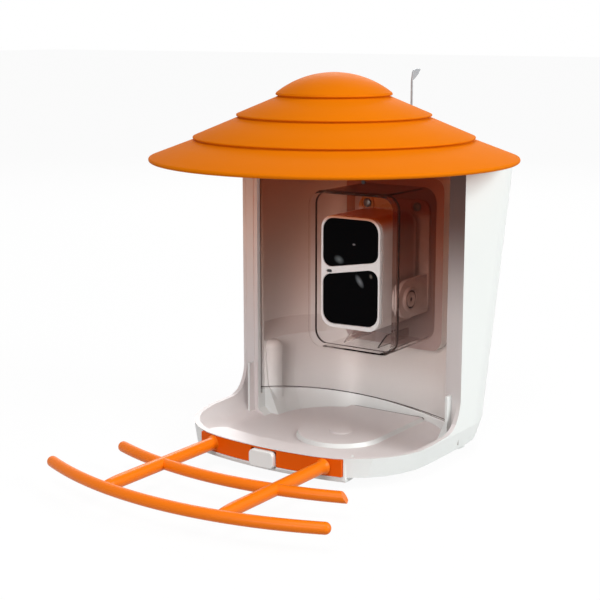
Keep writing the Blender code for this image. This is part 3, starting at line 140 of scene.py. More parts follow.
# shade is the second colour of the slow mottling; glow, where there is one, is painted light and shade: the
# warm light that the roof throws on what lies close under it and its shade, and it fades in between the two
# heights of fade
plasticDefaults = {"mottle": 14, "mottleDetail": 3, "wear": 60, "wearDetail": 5, "grain": 2600,
                   "grainDetail": 2, "grainHigh": 0.0002, "bump": 0.08, "gloss": 0.5}
plastics = {
    "housingWhite": {"colour": (0.80, 0.815, 0.80), "shade": (0.76, 0.775, 0.765), "roughness": (0.30, 0.42),
                     "bump": 0.06},
    # painted shade: a darker, warmer copy of the housing white for the hollow, with the roof's light and
    # shade painted in
    "innerPaintedWarmShade": {"colour": (0.77, 0.72, 0.715), "shade": (0.73, 0.68, 0.675), "roughness": (0.30, 0.42),
                   "bump": 0.06, "glow": (0.74, 0.46, 0.34), "fade": (0.05, 0.215)},
    "cheekShade": {"colour": (0.64, 0.60, 0.59), "shade": (0.61, 0.57, 0.56), "roughness": (0.35, 0.45),
                   "bump": 0.06, "glow": (0.09, 0.035, 0.022), "fade": (0.10, 0.185)},
    "bayShade": {"colour": (0.52, 0.45, 0.44), "shade": (0.49, 0.42, 0.41), "roughness": (0.35, 0.45),
                 "bump": 0.06, "glow": (0.54, 0.28, 0.19), "fade": (0.10, 0.18)},
    "roofOrange": {"colour": (0.66, 0.160, 0.001), "shade": (0.62, 0.145, 0.001), "roughness": (0.50, 0.62),
                   "bump": 0.10, "gloss": 0.02, "through": (0.30, 0.13, 0.05)},
    "perchOrange": {"colour": (0.86, 0.185, 0.003), "shade": (0.82, 0.17, 0.002), "roughness": (0.30, 0.40),
                    "bump": 0.10, "gloss": 0.18},
    # painted shade: a darker copy of the perch orange for the band, which faces away from the light
    "bandOrangePaintedShade": {"colour": (0.76, 0.105, 0.001), "shade": (0.70, 0.092, 0.001), "roughness": (0.34, 0.46),
                   "bump": 0.10, "gloss": 0.08},
    # painted light: the roof's orange light painted on the camera's top
    "cameraWhitePaintedRoofLight": {"colour": (0.95, 0.94, 0.93), "shade": (0.93, 0.92, 0.91), "roughness": (0.22, 0.32),
                    "bump": 0.04, "glow": (0.66, 0.20, 0.05), "fade": (0.1665, 0.175)},
    # painted shade: a darker, pinker copy of the camera white for the shaded body, with the roof's orange
    # light painted on its top
    "casePaintedShadeAndRoofLight": {"colour": (0.74, 0.66, 0.63), "shade": (0.71, 0.63, 0.60), "roughness": (0.26, 0.36),
                  "bump": 0.04, "glow": (0.60, 0.14, 0.02), "fade": (0.160, 0.173)},
    "hookGrey": {"colour": (0.36, 0.38, 0.40), "shade": (0.32, 0.34, 0.36), "roughness": (0.35, 0.45)},
    "backLineGrey": {"colour": (0.16, 0.135, 0.13), "shade": (0.12, 0.10, 0.095), "roughness": (0.5, 0.7)},
    # painted shade for the dark clear edges and gaps of the panel
    "paintedEdgeShade": {"colour": (0.035, 0.018, 0.017), "shade": (0.022, 0.011, 0.010), "roughness": (0.15, 0.25),
                "bump": 0.02},
    "rubberBlack": {"colour": (0.03, 0.03, 0.03), "shade": (0.022, 0.022, 0.022), "roughness": (0.65, 0.8),
                    "bump": 0.2},
    # black plastic; also painted shade in the clamp knob's groove
    "plugBlackAndGrooveShade": {"colour": (0.02, 0.018, 0.017), "shade": (0.012, 0.012, 0.012), "roughness": (0.4, 0.5)},
    "boardGreen": {"colour": (0.015, 0.12, 0.045), "shade": (0.012, 0.09, 0.035), "roughness": (0.35, 0.5),
                   "mottle": 400},
    "cellWrap": {"colour": (0.40, 0.42, 0.45), "shade": (0.35, 0.37, 0.40), "roughness": (0.25, 0.4)},
}


def mouldedPlastic(name, look):
    mat, tree, shader = emptyMaterial(name)
    mottle = objectNoise(tree, look["mottle"], look["mottleDetail"])
    colour = colourMix(tree, mottle, look["colour"], look["shade"])
    # painted light and shade: the roof's warm glow colour takes over upwards between the two fade heights
    if "glow" in look:
        colour = colourMix(tree, heightRamp(tree, look["fade"]), colour, look["glow"])
    tree.links.new(colour, shader.inputs["Base Color"])
    patchyRoughness(tree, shader, objectNoise(tree, look["wear"], look["wearDetail"]), look["roughness"])
    bump = tree.nodes.new("ShaderNodeBump")
    bump.inputs["Strength"].default_value = look["bump"]
    bump.inputs["Distance"].default_value = look["grainHigh"]
    tree.links.new(objectNoise(tree, look["grain"], look["grainDetail"]), bump.inputs["Height"])
    tree.links.new(bump.outputs["Normal"], shader.inputs["Normal"])
    shader.inputs["Specular IOR Level"].default_value = look["gloss"]
    if "through" in look:
        letLightThrough(tree, shader, look["through"])
    return mat


finishes = {name: mouldedPlastic(name, {**plasticDefaults, **look}) for name, look in plastics.items()}

# metal with fine level streaks
streakLook = {"scale": 900, "detail": 4, "stretch": (1, 1, 6)}
metals = {
    "pinSteel": {"colour": (0.62, 0.62, 0.61), "roughness": (0.22, 0.38)},
    "screwGrey": {"colour": (0.26, 0.24, 0.22), "roughness": (0.4, 0.55)},
    "insertBrass": {"colour": (0.78, 0.56, 0.24), "roughness": (0.22, 0.38)},
}


def turnedMetal(name, look):
    mat, tree, shader = emptyMaterial(name)
    streaks = objectNoise(tree, streakLook["scale"], streakLook["detail"], streakLook["stretch"])
    patchyRoughness(tree, shader, streaks, look["roughness"])
    shader.inputs["Base Color"].default_value = (*look["colour"], 1)
    shader.inputs["Metallic"].default_value = 1
    return mat


for name, look in metals.items():
    finishes[name] = turnedMetal(name, look)

# clear plastic; the upper colour is painted shade, the roof's warm shade painted into the upper part, and
# pass is what shadow rays keep
clearCommon = {"gloss": 0.2, "roughness": (0.01, 0.04), "haze": 35, "hazeDetail": 4}
clears = {
    "panelClear": {"tint": (0.82, 0.79, 0.785), "paintedShadeHigh": (0.58, 0.28, 0.17), "fade": (0.015, 0.225),
                   "pass": (0.94, 0.93, 0.925), "ior": 1.12},
    "pocketClear": {"tint": (0.80, 0.74, 0.725), "paintedShadeHigh": (0.58, 0.34, 0.26), "fade": (0.08, 0.19),
                    "pass": (0.82, 0.77, 0.75), "ior": 1.03},
}


def clearPlastic(name, look):
    mat, tree, shader = emptyMaterial(name)
    colour = colourMix(tree, heightRamp(tree, look["fade"]), look["tint"], look["paintedShadeHigh"])
    tree.links.new(colour, shader.inputs["Base Color"])
    shader.inputs["Transmission Weight"].default_value = 1
    shader.inputs["IOR"].default_value = look["ior"]
    shader.inputs["Specular IOR Level"].default_value = look["gloss"]
    patchyRoughness(tree, shader, objectNoise(tree, look["haze"], look["hazeDetail"]), look["roughness"])
    letLightThrough(tree, shader, look["pass"])
    return mat


for name, look in clears.items():
    finishes[name] = clearPlastic(name, {**clearCommon, **look})

# glossy black window with painted glints that stand in for reflections of the optics behind it; each glint:
# x, z, half sizes, turn, colour
windowLook = {"base": (0.003, 0.003, 0.0035), "gloss": 0.01, "roughness": (0.05, 0.12), "smudge": 120,
              "smudgeDetail": 3, "deep": 1000,
              "paintedGlints": ((-0.0101, 0.1406, 0.0050, 0.0034, 20, (0.16, 0.19, 0.20)),
                         (0.0032, 0.1533, 0.0016, 0.0011, 0, (0.35, 0.33, 0.34)),
                         (0.0084, 0.1256, 0.0028, 0.0062, -35, (0.22, 0.25, 0.27)),
                         (0.0184, 0.1303, 0.0016, 0.0022, -20, (0.20, 0.18, 0.16)))}


def windowBlack(name, look):
    mat, tree, shader = emptyMaterial(name)
    shader.inputs["Specular IOR Level"].default_value = look["gloss"]
    patchyRoughness(tree, shader, objectNoise(tree, look["smudge"], look["smudgeDetail"]), look["roughness"])
    coords = tree.nodes.new("ShaderNodeTexCoord")
    colour = look["base"]
    for x, z, halfX, halfZ, turn, glintColour in look["paintedGlints"]:
        mapping = tree.nodes.new("ShaderNodeMapping")
        mapping.vector_type = "TEXTURE"
        mapping.inputs["Location"].default_value = (x, 0, z)
        mapping.inputs["Rotation"].default_value = (0, math.radians(turn), 0)
        mapping.inputs["Scale"].default_value = (halfX, look["deep"], halfZ)
        blob = tree.nodes.new("ShaderNodeTexGradient")
        blob.gradient_type = "SPHERICAL"
        tree.links.new(coords.outputs["Object"], mapping.inputs["Vector"])
        tree.links.new(mapping.outputs["Vector"], blob.inputs["Vector"])
        colour = colourMix(tree, blob.outputs["Fac"], colour, glintColour)
    tree.links.new(colour, shader.inputs["Base Color"])
    return mat


finishes["windowBlack"] = windowBlack("windowBlack", windowLook)
print("materials made:", len(finishes))


def addPiece(name, mesh, finish, body, replaced=()):
    piece = bpy.data.objects.new(name, mesh)
    bpy.context.scene.collection.objects.link(piece)
    mesh.materials.clear()
    mesh.materials.append(finishes[finish])
    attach(piece, body)
    if replaced:
        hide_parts(*replaced)
    return piece


def bevelEdges(piece, width, segments=2, angle=30):
    mod = piece.modifiers.new("edge", "BEVEL")
    mod.width = width
    mod.segments = segments
    mod.limit_method = "ANGLE"
    mod.angle_limit = math.radians(angle)


# frame nodes that are only dressed: node, finish, width of the rounded edge, segments of the rounding
softLook = {"merge": 0.00002, "flatten": 0.6, "smooth": 30, "bevelFrom": 32}
softList = [
    ("housing", "housingWhite", 0.0004, 2), ("base_cover", "housingWhite", 0.0004, 2),
    ("camera_bay", "housingWhite", 0.0008, 3), ("perch_band", "bandOrangePaintedShade", 0.0004, 2),
    ("release_button", "housingWhite", 0, 0), ("clear_panel", "panelClear", 0.0003, 1),
    ("panel_plug", "plugBlackAndGrooveShade", 0.0002, 2), ("tilt_bracket", "cameraWhitePaintedRoofLight", 0.0006, 3),
    ("pivot_screw", "plugBlackAndGrooveShade", 0.0002, 2), ("camera_body", "casePaintedShadeAndRoofLight", 0.0005, 2),
    ("camera_bezel", "cameraWhitePaintedRoofLight", 0.0012, 4), ("upper_window", "windowBlack", 0.0003, 2),
    ("lower_window", "windowBlack", 0.0003, 2), ("camera_gasket", "cameraWhitePaintedRoofLight", 0, 0),
    ("lens_barrel", "plugBlackAndGrooveShade", 0.0002, 2), ("image_board", "boardGreen", 0.0001, 1),
    ("infrared_board", "boardGreen", 0.0001, 1), ("main_board", "boardGreen", 0.0001, 1),
    ("motion_sensor", "hookGrey", 0.0002, 2), ("battery_cell", "cellWrap", 0.001, 3),
    ("speaker", "plugBlackAndGrooveShade", 0.0003, 2), ("camera_rear_cover", "cameraWhitePaintedRoofLight", 0.0008, 3),
    ("power_button", "hookGrey", 0.0003, 2), ("usb_flap", "rubberBlack", 0.0001, 1),
    ("hinge_pin_left", "pinSteel", 0.0002, 2), ("hinge_pin_right", "pinSteel", 0.0002, 2),
    ("rear_hook", "hookGrey", 0.0003, 2), ("mount_insert", "insertBrass", 0.0002, 2),
]
softList += [("foot_%d" % k, "rubberBlack", 0.0003, 2) for k in (1, 2, 3, 4)]
softList += [("bracket_screw_%d" % k, "screwGrey", 0.0003, 2) for k in (1, 2, 3, 4)]


# a merged copy of a frame node with its sharp edges rounded and its curved faces smooth
def softenNode(node, finish, edge, segments):
    bm = bmesh.new()
    bm.from_mesh(nodes[node].data)
    bmesh.ops.remove_doubles(bm, verts=bm.verts[:], dist=softLook["merge"])
    bmesh.ops.dissolve_limit(bm, angle_limit=math.radians(softLook["flatten"]), verts=bm.verts[:],
                             edges=bm.edges[:])
    mesh = bpy.data.meshes.new(node + "Soft")
    bm.to_mesh(mesh)
    bm.free()
    mesh.shade_smooth()
    mesh.set_sharp_from_angle(angle=math.radians(softLook["smooth"]))
    piece = addPiece(node + "Soft", mesh, finish, bodyOf[node], (node,))
    if edge:
        bevelEdges(piece, edge, segments, softLook["bevelFrom"])
    normals = piece.modifiers.new("normals", "WEIGHTED_NORMAL")
    normals.keep_sharp = True


for node, finish, edge, segments in softList:
    softenNode(node, finish, edge, segments)


# further finishes for some faces of a dressed node; slotOf gives a face's place in the list, or 0 for none
def paintFaces(node, moreFinishes, slotOf):
    mesh = bpy.data.objects[node + "Soft"].data
    for finish in moreFinishes:
        mesh.materials.append(finishes[finish])
    for face in mesh.polygons:
        slot = slotOf(face)
        if slot:
            face.material_index = slot


# the pocket's flat walls bend the light less than the rest of the clear panel
pocketLook = {"half": 0.0386, "low": 0.0696, "high": 0.1925, "front": 0.0628, "wedgeHalf": 0.018,
              "wedgeTop": 0.0798, "facing": 0.5}


def pocketSlot(face):
    x, y, z = face.center
    inHeight = pocketLook["low"] < z < pocketLook["high"]
    inPocket = abs(x) < pocketLook["half"] and inHeight and y > pocketLook["front"]
    onWedge = abs(x) < pocketLook["wedgeHalf"] and z < pocketLook["wedgeTop"]
    return 1 if inPocket and not onWedge and abs(face.normal.y) < pocketLook["facing"] else 0


paintFaces("clear_panel", ["pocketClear"], pocketSlot)

# painted shade: the tray's hollow and the walls' inner sides in front of the panel, which the roof warms, get
# a darker, warmer copy of the white with the roof's light and shade painted in, and the right cheek a darker
# painted shade
hollowLook = {"back": 0.0635, "middle": (0, 0.03), "low": 0.05, "turn": 0.25, "rimLow": 0.0160,
              "rimHigh": 0.0195, "flat": 0.9, "rightX": 0.06, "steep": 0.7}


def paintedShadeSlot(face):
    x, y, z = face.center
    inward = Vector((*hollowLook["middle"], max(z, hollowLook["low"]))) - face.center
    onRim = face.normal.z > hollowLook["flat"] and hollowLook["rimLow"] < z < hollowLook["rimHigh"]
    turnsInward = face.normal.dot(inward.normalized()) > hollowLook["turn"]
    isInner = y < hollowLook["back"] and not onRim and turnsInward
    onRight = x > hollowLook["rightX"] and face.normal.z < hollowLook["steep"]      # away from the lamps
    return (2 if onRight else 1) if isInner else 0


paintFaces("housing", ["innerPaintedWarmShade", "cheekShade"], paintedShadeSlot)

# the pan's front, which lies in the camera's shade
panLook = {"facing": -0.3}
paintFaces("camera_bay", ["bayShade"], lambda face: 1 if face.normal.y < panLook["facing"] else 0)
print("frame pieces dressed:", len(softList))


def meshFrom(bm, name, smoothAngle=30):
    bmesh.ops.recalc_face_normals(bm, faces=bm.faces[:])
    mesh = bpy.data.meshes.new(name)
    bm.to_mesh(mesh)
    bm.free()
    mesh.shade_smooth()
    mesh.set_sharp_from_angle(angle=math.radians(smoothAngle))
    return mesh


# a turn about one axis, then the move to a spot
def turnedTo(spot, degrees, axis):
    return Matrix.Translation(spot) @ Matrix.Rotation(math.radians(degrees), 4, axis)


# a turn about an axis through a point
def swungAbout(centre, angle, axis):
    return Matrix.Translation(centre) @ Matrix.Rotation(angle, 4, axis) @ Matrix.Translation(-centre)


# an outline of (radius, height) pairs turned about the upright axis, then placed
turnedMerge = 0.000001


def turned(outline, steps, place):
    bm = bmesh.new()
    points = [bm.verts.new((r, 0, h)) for r, h in outline]
    edges = [bm.edges.new(pair) for pair in zip(points, points[1:])]
    bmesh.ops.spin(bm, geom=points + edges, cent=(0, 0, 0), axis=(0, 0, 1), angle=2 * math.pi, steps=steps,
                   use_merge=True)
    bmesh.ops.remove_doubles(bm, verts=bm.verts[:], dist=turnedMerge)
    bmesh.ops.transform(bm, matrix=place, verts=bm.verts[:])
    return bm


def arcOf(centre, radius, start, end, count):
    angles = [math.radians(start + (end - start) * k / count) for k in range(count + 1)]
    return [(centre[0] + radius * math.cos(a), centre[1] + radius * math.sin(a)) for a in angles]


# the points or the edges among what a mesh operator gives back
def only(geometry, kind):
    return [g for g in geometry if isinstance(g, kind)]


# gives a flat face or ring of faces its thickness
def thicken(bm, reach):
    grown = bmesh.ops.extrude_face_region(bm, geom=bm.faces[:])["geom"]
    bmesh.ops.translate(bm, vec=reach, verts=only(grown, bmesh.types.BMVert))


# roof: the stepped dome in one turned shell, each step with a round nose over a fine groove
# an arc is its first angle, its last angle and its steps
roofLook = {"axisY": 0.0381, "steps": ((0.0425, 0.2676), (0.0712, 0.2528), (0.1028, 0.2369)),
            "brimZ": 0.2215, "nose": 0.0008, "noseArc": (58, -80, 6), "groove": 0.0009, "drop": 0.0023,
            "shell": 0.0026, "lip": 0.0017, "lipArc": (66, -85, 8), "ribOut": 0.1015, "ribIn": 0.099,
            "ribLow": 0.2187, "capSteps": 16, "underCap": (0.8, 0.6, 0.4, 0.2, 0), "turns": 192, "smooth": 24}
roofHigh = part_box("roof")[1]
brimR, apexZ = roofHigh[0], roofHigh[2]


def roofOutline(look):
    firstR, firstZ = look["steps"][0]
    lastR, lastZ = look["steps"][-1]
    rise = apexZ - firstZ
    capR = (firstR ** 2 + rise ** 2) / (2 * rise)
    capEnd = math.degrees(math.asin((firstR - look["nose"] / 2) / capR))
    outline = arcOf((0, apexZ - capR), capR, 90, 90 - capEnd, look["capSteps"])
    for r, z in look["steps"]:
        outline += arcOf((r - look["nose"], z - look["nose"]), look["nose"], *look["noseArc"])
        grooveR = r - look["nose"] - look["groove"]
        outline += [(grooveR, z - 2 * look["nose"]), (grooveR, z - look["drop"])]
    lip = look["lip"]
    outline += arcOf((brimR - lip, look["brimZ"] - lip / 2), lip, *look["lipArc"])
    underZ = lastZ - look["drop"] - look["shell"]
    fall = (lastZ - look["drop"] - look["brimZ"]) / (brimR - lastR)
    outline += [(brimR - 2 * lip, underZ - fall * (brimR - 2 * lip - lastR))]
    outline += [(look["ribOut"], underZ - fall * (look["ribOut"] - lastR)), (look["ribOut"], look["ribLow"])]
    outline += [(look["ribIn"], look["ribLow"]), (look["ribIn"], underZ - fall * (look["ribIn"] - lastR))]
    outline += [(r, z - look["drop"] - look["shell"]) for r, z in look["steps"][1::-1]]
    depth = apexZ - firstZ + look["drop"]
    outline += [(firstR * share, apexZ - look["shell"] - depth * share ** 2) for share in look["underCap"]]
    return outline


bm = turned(roofOutline(roofLook), roofLook["turns"], Matrix.Translation((0, roofLook["axisY"], 0)))
addPiece("roofShell", meshFrom(bm, "roofShell", roofLook["smooth"]), "roofOrange", bodyOf["roof"], ("roof",))

# the two lugs that carry the roof on its hinge pins
lugLook = {"inner": 0.012, "wide": 0.006, "radius": 0.0038, "top": 0.2203, "edge": 0.0004, "sides": 32}
pinLow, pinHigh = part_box("hinge_pin_left")
hingeY = (pinLow[1] + pinHigh[1]) / 2
hingeZ = (pinLow[2] + pinHigh[2]) / 2
for word, side in sides.items():
    bm = bmesh.new()
    bmesh.ops.create_circle(bm, cap_ends=True, segments=lugLook["sides"], radius=lugLook["radius"])
    place = turnedTo((side * lugLook["inner"], hingeY, hingeZ), 90, "Y")
    bmesh.ops.transform(bm, matrix=place, verts=bm.verts[:])
    for point in bm.verts:
        if point.co.z > hingeZ + lugLook["edge"]:
            point.co.z = lugLook["top"]
    thicken(bm, (side * lugLook["wide"], 0, 0))
    lug = addPiece("roofLug" + word, meshFrom(bm, "roofLug" + word), "roofOrange", bodyOf["roof"])
    bevelEdges(lug, lugLook["edge"])
print("roof turned")

# perch: two curved bars with round ends on two rods
# the inner bar's right end is sawn off on a slant, cutBack times its radius before the round would start
perchLook = {"z": 0.0167, "barR": 0.004, "rodR": 0.0046, "rodX": 0.0479, "sides": 32, "steps": 56,
             "smooth": 60, "endSteps": 7, "cutBack": 0.4, "bandFall": 0.0042, "flare": 0.0013,
             "flareLong": 0.004, "flareShares": (0.02, 0.15, 0.3, 0.45, 0.6, 0.8, 1.0), "neckR": 0.0042,
             "neckFrom": 0.014, "neckTo": 0.007, "tipIn": 0.0003, "tipFrom": 0.002,
             "bars": {"outerBar": {"apexY": -0.1691, "arcR": 0.282, "half": 0.1175},
                      "innerBar": {"apexY": -0.1089, "arcR": 0.271, "half": 0.0995, "cut": 0.6}}}


# closes one open ring of a bar with a half ball
def roundEnd(bm, ring, centre, outward, radius, steps):
    done = 0
    size = 1
    for k in range(1, steps):
        angle = math.radians(90 * k / steps)
        grown = bmesh.ops.extrude_edge_only(bm, edges=ring)["geom"]
        ring = only(grown, bmesh.types.BMEdge)
        points = only(grown, bmesh.types.BMVert)
        step = radius * math.sin(angle) - done
        shrink = math.cos(angle) / size
        bmesh.ops.scale(bm, vec=(shrink, shrink, shrink), space=Matrix.Translation(-centre), verts=points)
        bmesh.ops.translate(bm, vec=outward * step, verts=points)
        centre = centre + outward * step
        done += step
        size = math.cos(angle)
    bmesh.ops.edgeloop_fill(bm, edges=ring)


# cuts one open end of a bar off on a slant and closes it
def slantEnd(bm, centre, outward, look, cut):
    bmesh.ops.bisect_plane(bm, geom=bm.verts[:] + bm.edges[:] + bm.faces[:], clear_outer=True,
                           plane_co=centre - outward * look["barR"] * look["cutBack"],
                           plane_no=outward + Vector((0, 0, cut)))
    bmesh.ops.edgeloop_fill(bm, edges=[e for e in bm.edges if e.is_boundary])


def curvedBar(name, bar, look):
    middle = Vector((0, bar["apexY"] + bar["arcR"], look["z"]))
    reach = math.asin(bar["half"] / bar["arcR"]) - look["barR"] / bar["arcR"]
    bm = bmesh.new()
    bmesh.ops.create_circle(bm, segments=look["sides"], radius=look["barR"])
    place = swungAbout(middle, -reach, "Z") @ turnedTo((0, bar["apexY"], look["z"]), 90, "Y")
    bmesh.ops.transform(bm, matrix=place, verts=bm.verts[:])
    first = bm.edges[:]
    grown = bmesh.ops.spin(bm, geom=bm.verts[:] + first, cent=middle, axis=(0, 0, 1), angle=2 * reach,
                           steps=look["steps"])
    last = only(grown["geom_last"], bmesh.types.BMEdge)
    for ring, turn, way in ((first, -reach, -1), (last, reach, 1)):
        spot = Matrix.Rotation(turn, 4, "Z")
        centre = middle + spot @ Vector((0, -bar["arcR"], 0))
        outward = spot @ Vector((way, 0, 0))
        if way > 0 and "cut" in bar:
            slantEnd(bm, centre, outward, look, bar["cut"])
        else:
            roundEnd(bm, ring, centre, outward, look["barR"], look["endSteps"])
    return meshFrom(bm, name, look["smooth"])


for name, bar in perchLook["bars"].items():
    replaced = ("perch",) if name == "outerBar" else ()
    addPiece(name, curvedBar(name, bar, perchLook), "perchOrange", bodyOf["perch"], replaced)


# from the rod's rear end to its flared start at the band and its slimmer tip at the outer bar
def rodOutline(look):
    outer = look["bars"]["outerBar"]
    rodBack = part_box("perch")[1][1]
    rodFront = outer["apexY"] + outer["arcR"] - math.sqrt(outer["arcR"] ** 2 - look["rodX"] ** 2)
    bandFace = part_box("perch_band")[0][1] + look["bandFall"]
    outline = [(0, rodBack), (look["rodR"], rodBack), (look["rodR"], bandFace)]
    outline += [(look["rodR"] + look["flare"] * (1 - along) ** 2, bandFace - look["flareLong"] * along)
                for along in look["flareShares"]]
    outline += [(look["rodR"], rodFront + look["neckFrom"]), (look["neckR"], rodFront + look["neckTo"])]
    outline += [(look["barR"] - look["tipIn"], rodFront + look["tipFrom"]), (0, rodFront)]
    return outline


for word, side in sides.items():
    place = turnedTo((side * perchLook["rodX"], 0, perchLook["z"]), -90, "X")
    bm = turned(rodOutline(perchLook), perchLook["sides"], place)
    rodMesh = meshFrom(bm, "perchRod" + word, perchLook["smooth"])
    addPiece("perchRod" + word, rodMesh, "perchOrange", bodyOf["perch"])
print("perch bent")

# painted shade: a dark ring along the clear pocket's front edge, where refraction makes the edge look dark
edgeShadeLook = {"half": 0.0377, "low": 0.0706, "high": 0.1917, "corner": 0.0112, "cornerSteps": 10,
           "wide": 0.0012, "deep": 0.0014, "frontY": 0.0700, "edge": 0.0003, "round": 0.5}
bm = bmesh.new()
bmesh.ops.create_grid(bm, x_segments=1, y_segments=1, size=1)
tall = (edgeShadeLook["high"] - edgeShadeLook["low"]) / 2
bmesh.ops.scale(bm, vec=(edgeShadeLook["half"], tall, 1), verts=bm.verts[:])
bmesh.ops.bevel(bm, geom=bm.verts[:], offset=edgeShadeLook["corner"], affect="VERTICES",
                segments=edgeShadeLook["cornerSteps"], profile=edgeShadeLook["round"], material=-1)
bm.faces.ensure_lookup_table()
inner = bm.faces[0]
bmesh.ops.inset_individual(bm, faces=[inner], thickness=edgeShadeLook["wide"], use_even_offset=True)
bmesh.ops.delete(bm, geom=[inner], context="FACES_ONLY")
thicken(bm, (0, 0, edgeShadeLook["deep"]))
place = turnedTo((0, edgeShadeLook["frontY"] + edgeShadeLook["deep"], edgeShadeLook["low"] + tall), 90, "X")
bmesh.ops.transform(bm, matrix=place, verts=bm.verts[:])
rim = addPiece("pocketEdgeShade", meshFrom(bm, "pocketEdgeShade"), "paintedEdgeShade", bodyOf["clear_panel"])
bevelEdges(rim, edgeShadeLook["edge"])

# painted shade: a fine dark line in the gap along the panel's arched lower edge
seamLook = {"half": 0.0912, "topZ": 0.0372, "endZ": 0.0274, "y": 0.0638, "radius": 0.00035, "sides": 8,
            "steps": 40, "smooth": 60}
rise = seamLook["topZ"] - seamLook["endZ"]
seamR = (seamLook["half"] ** 2 + rise ** 2) / (2 * rise)
seamTurn = math.asin(seamLook["half"] / seamR)
seamCentre = Vector((0, seamLook["y"], seamLook["topZ"] - seamR))
bm = bmesh.new()
bmesh.ops.create_circle(bm, segments=seamLook["sides"], radius=seamLook["radius"])
place = swungAbout(seamCentre, -seamTurn, "Y") @ turnedTo((0, seamLook["y"], seamLook["topZ"]), 90, "Y")
bmesh.ops.transform(bm, matrix=place, verts=bm.verts[:])
bmesh.ops.spin(bm, geom=bm.verts[:] + bm.edges[:], cent=seamCentre, axis=(0, 1, 0), angle=2 * seamTurn,
               steps=seamLook["steps"])
bmesh.ops.holes_fill(bm, edges=bm.edges[:], sides=seamLook["sides"])
addPiece("panelGapShade", meshFrom(bm, "panelGapShade", seamLook["smooth"]), "paintedEdgeShade", bodyOf["clear_panel"])

# a thin dark line along the back edge of the tray's raised tongue, with a short turn at its right end
backLineLook = {"left": -0.030, "right": 0.0325, "y": 0.1178, "z": 0.0093, "radius": 0.0003, "sides": 8,
             "bendR": 0.0035, "bend": 75, "bendSteps": 8, "smooth": 60}
bm = bmesh.new()
bmesh.ops.create_circle(bm, segments=backLineLook["sides"], radius=backLineLook["radius"])
place = turnedTo((backLineLook["left"], backLineLook["y"], backLineLook["z"]), 90, "Y")
bmesh.ops.transform(bm, matrix=place, verts=bm.verts[:])
grown = bmesh.ops.extrude_edge_only(bm, edges=bm.edges[:])["geom"]
far = only(grown, bmesh.types.BMVert)
bmesh.ops.translate(bm, vec=(backLineLook["right"] - backLineLook["left"], 0, 0), verts=far)
corner = (backLineLook["right"], backLineLook["y"] - backLineLook["bendR"], backLineLook["z"])
bmesh.ops.spin(bm, geom=far + only(grown, bmesh.types.BMEdge), cent=corner, axis=(0, 0, -1),
               angle=math.radians(backLineLook["bend"]), steps=backLineLook["bendSteps"])
bmesh.ops.holes_fill(bm, edges=bm.edges[:], sides=backLineLook["sides"])
addPiece("tongueBackLine", meshFrom(bm, "tongueBackLine", backLineLook["smooth"]), "backLineGrey", bodyOf["housing"])
print("rim, seam and joint line added")

# clamp knob: a ringed disc on the camera's right side, with a deep groove and a hole
# an outline is shares of the knob's radius and of its height from the camera's side outwards
knobLook = {"turns": 64, "smooth": 40, "grooveShadeTurns": 48,
            "outline": ((0, 0), (1, 0), (1, 0.75), (0.97, 0.93), (0.92, 1), (0.79, 1), (0.76, 0.93),
                        (0.75, 0.25), (0.63, 0.25), (0.62, 0.8), (0.59, 0.95), (0.55, 1), (0.24, 1),
                        (0.2, 0.9), (0.19, 0.35), (0, 0.35)),
            "grooveShadeOutline": ((0.64, 0.2), (0.74, 0.2), (0.74, 0.75), (0.64, 0.75), (0.64, 0.2))}
knobLow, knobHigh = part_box("pivot_knob")
knobBack, knobFace = knobLow[0], knobHigh[0]
knobR = (knobHigh[2] - knobLow[2]) / 2
knobPlace = turnedTo((0, (knobLow[1] + knobHigh[1]) / 2, (knobLow[2] + knobHigh[2]) / 2), 90, "Y")


def knobShape(shares, turns):
    outline = [(r * knobR, knobBack + h * (knobFace - knobBack)) for r, h in shares]
    return turned(outline, turns, knobPlace)


knobMesh = meshFrom(knobShape(knobLook["outline"], knobLook["turns"]), "clampKnob", knobLook["smooth"])
addPiece("clampKnob", knobMesh, "cameraWhitePaintedRoofLight", bodyOf["pivot_knob"], ("pivot_knob",))
# painted shade: a black ring set in the knob's groove, standing in for its shadow
grooveShadeMesh = meshFrom(knobShape(knobLook["grooveShadeOutline"], knobLook["grooveShadeTurns"]), "knobGrooveShade")
addPiece("knobGrooveShade", grooveShadeMesh, "plugBlackAndGrooveShade", bodyOf["pivot_knob"])

# raised rings on the bracket plate round its screws
ringLook = {"inner": 0.0050, "outer": 0.0062, "proud": 0.0009, "sink": 0.0006, "shoulder": 0.7,
            "chamfer": 0.0002, "plateIn": 0.0018, "turns": 40}


def ringOutline(look):
    inner, outer, top, chamfer = look["inner"], look["outer"], look["proud"], look["chamfer"]
    shoulder = top * look["shoulder"]
    outline = [(inner, -look["sink"]), (outer, -look["sink"]), (outer, shoulder), (outer - chamfer, top)]
    return outline + [(inner + chamfer, top), (inner, shoulder), (inner, -look["sink"])]


for k in (1, 2, 3, 4):
    low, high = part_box("bracket_screw_%d" % k)
    spot = ((low[0] + high[0]) / 2, low[1] + ringLook["plateIn"], (low[2] + high[2]) / 2)
    bm = turned(ringOutline(ringLook), ringLook["turns"], turnedTo(spot, 90, "X"))
    ringMesh = meshFrom(bm, "screwRing%d" % k)
    addPiece("screwRing%d" % k, ringMesh, "cameraWhitePaintedRoofLight", bodyOf["tilt_bracket"])

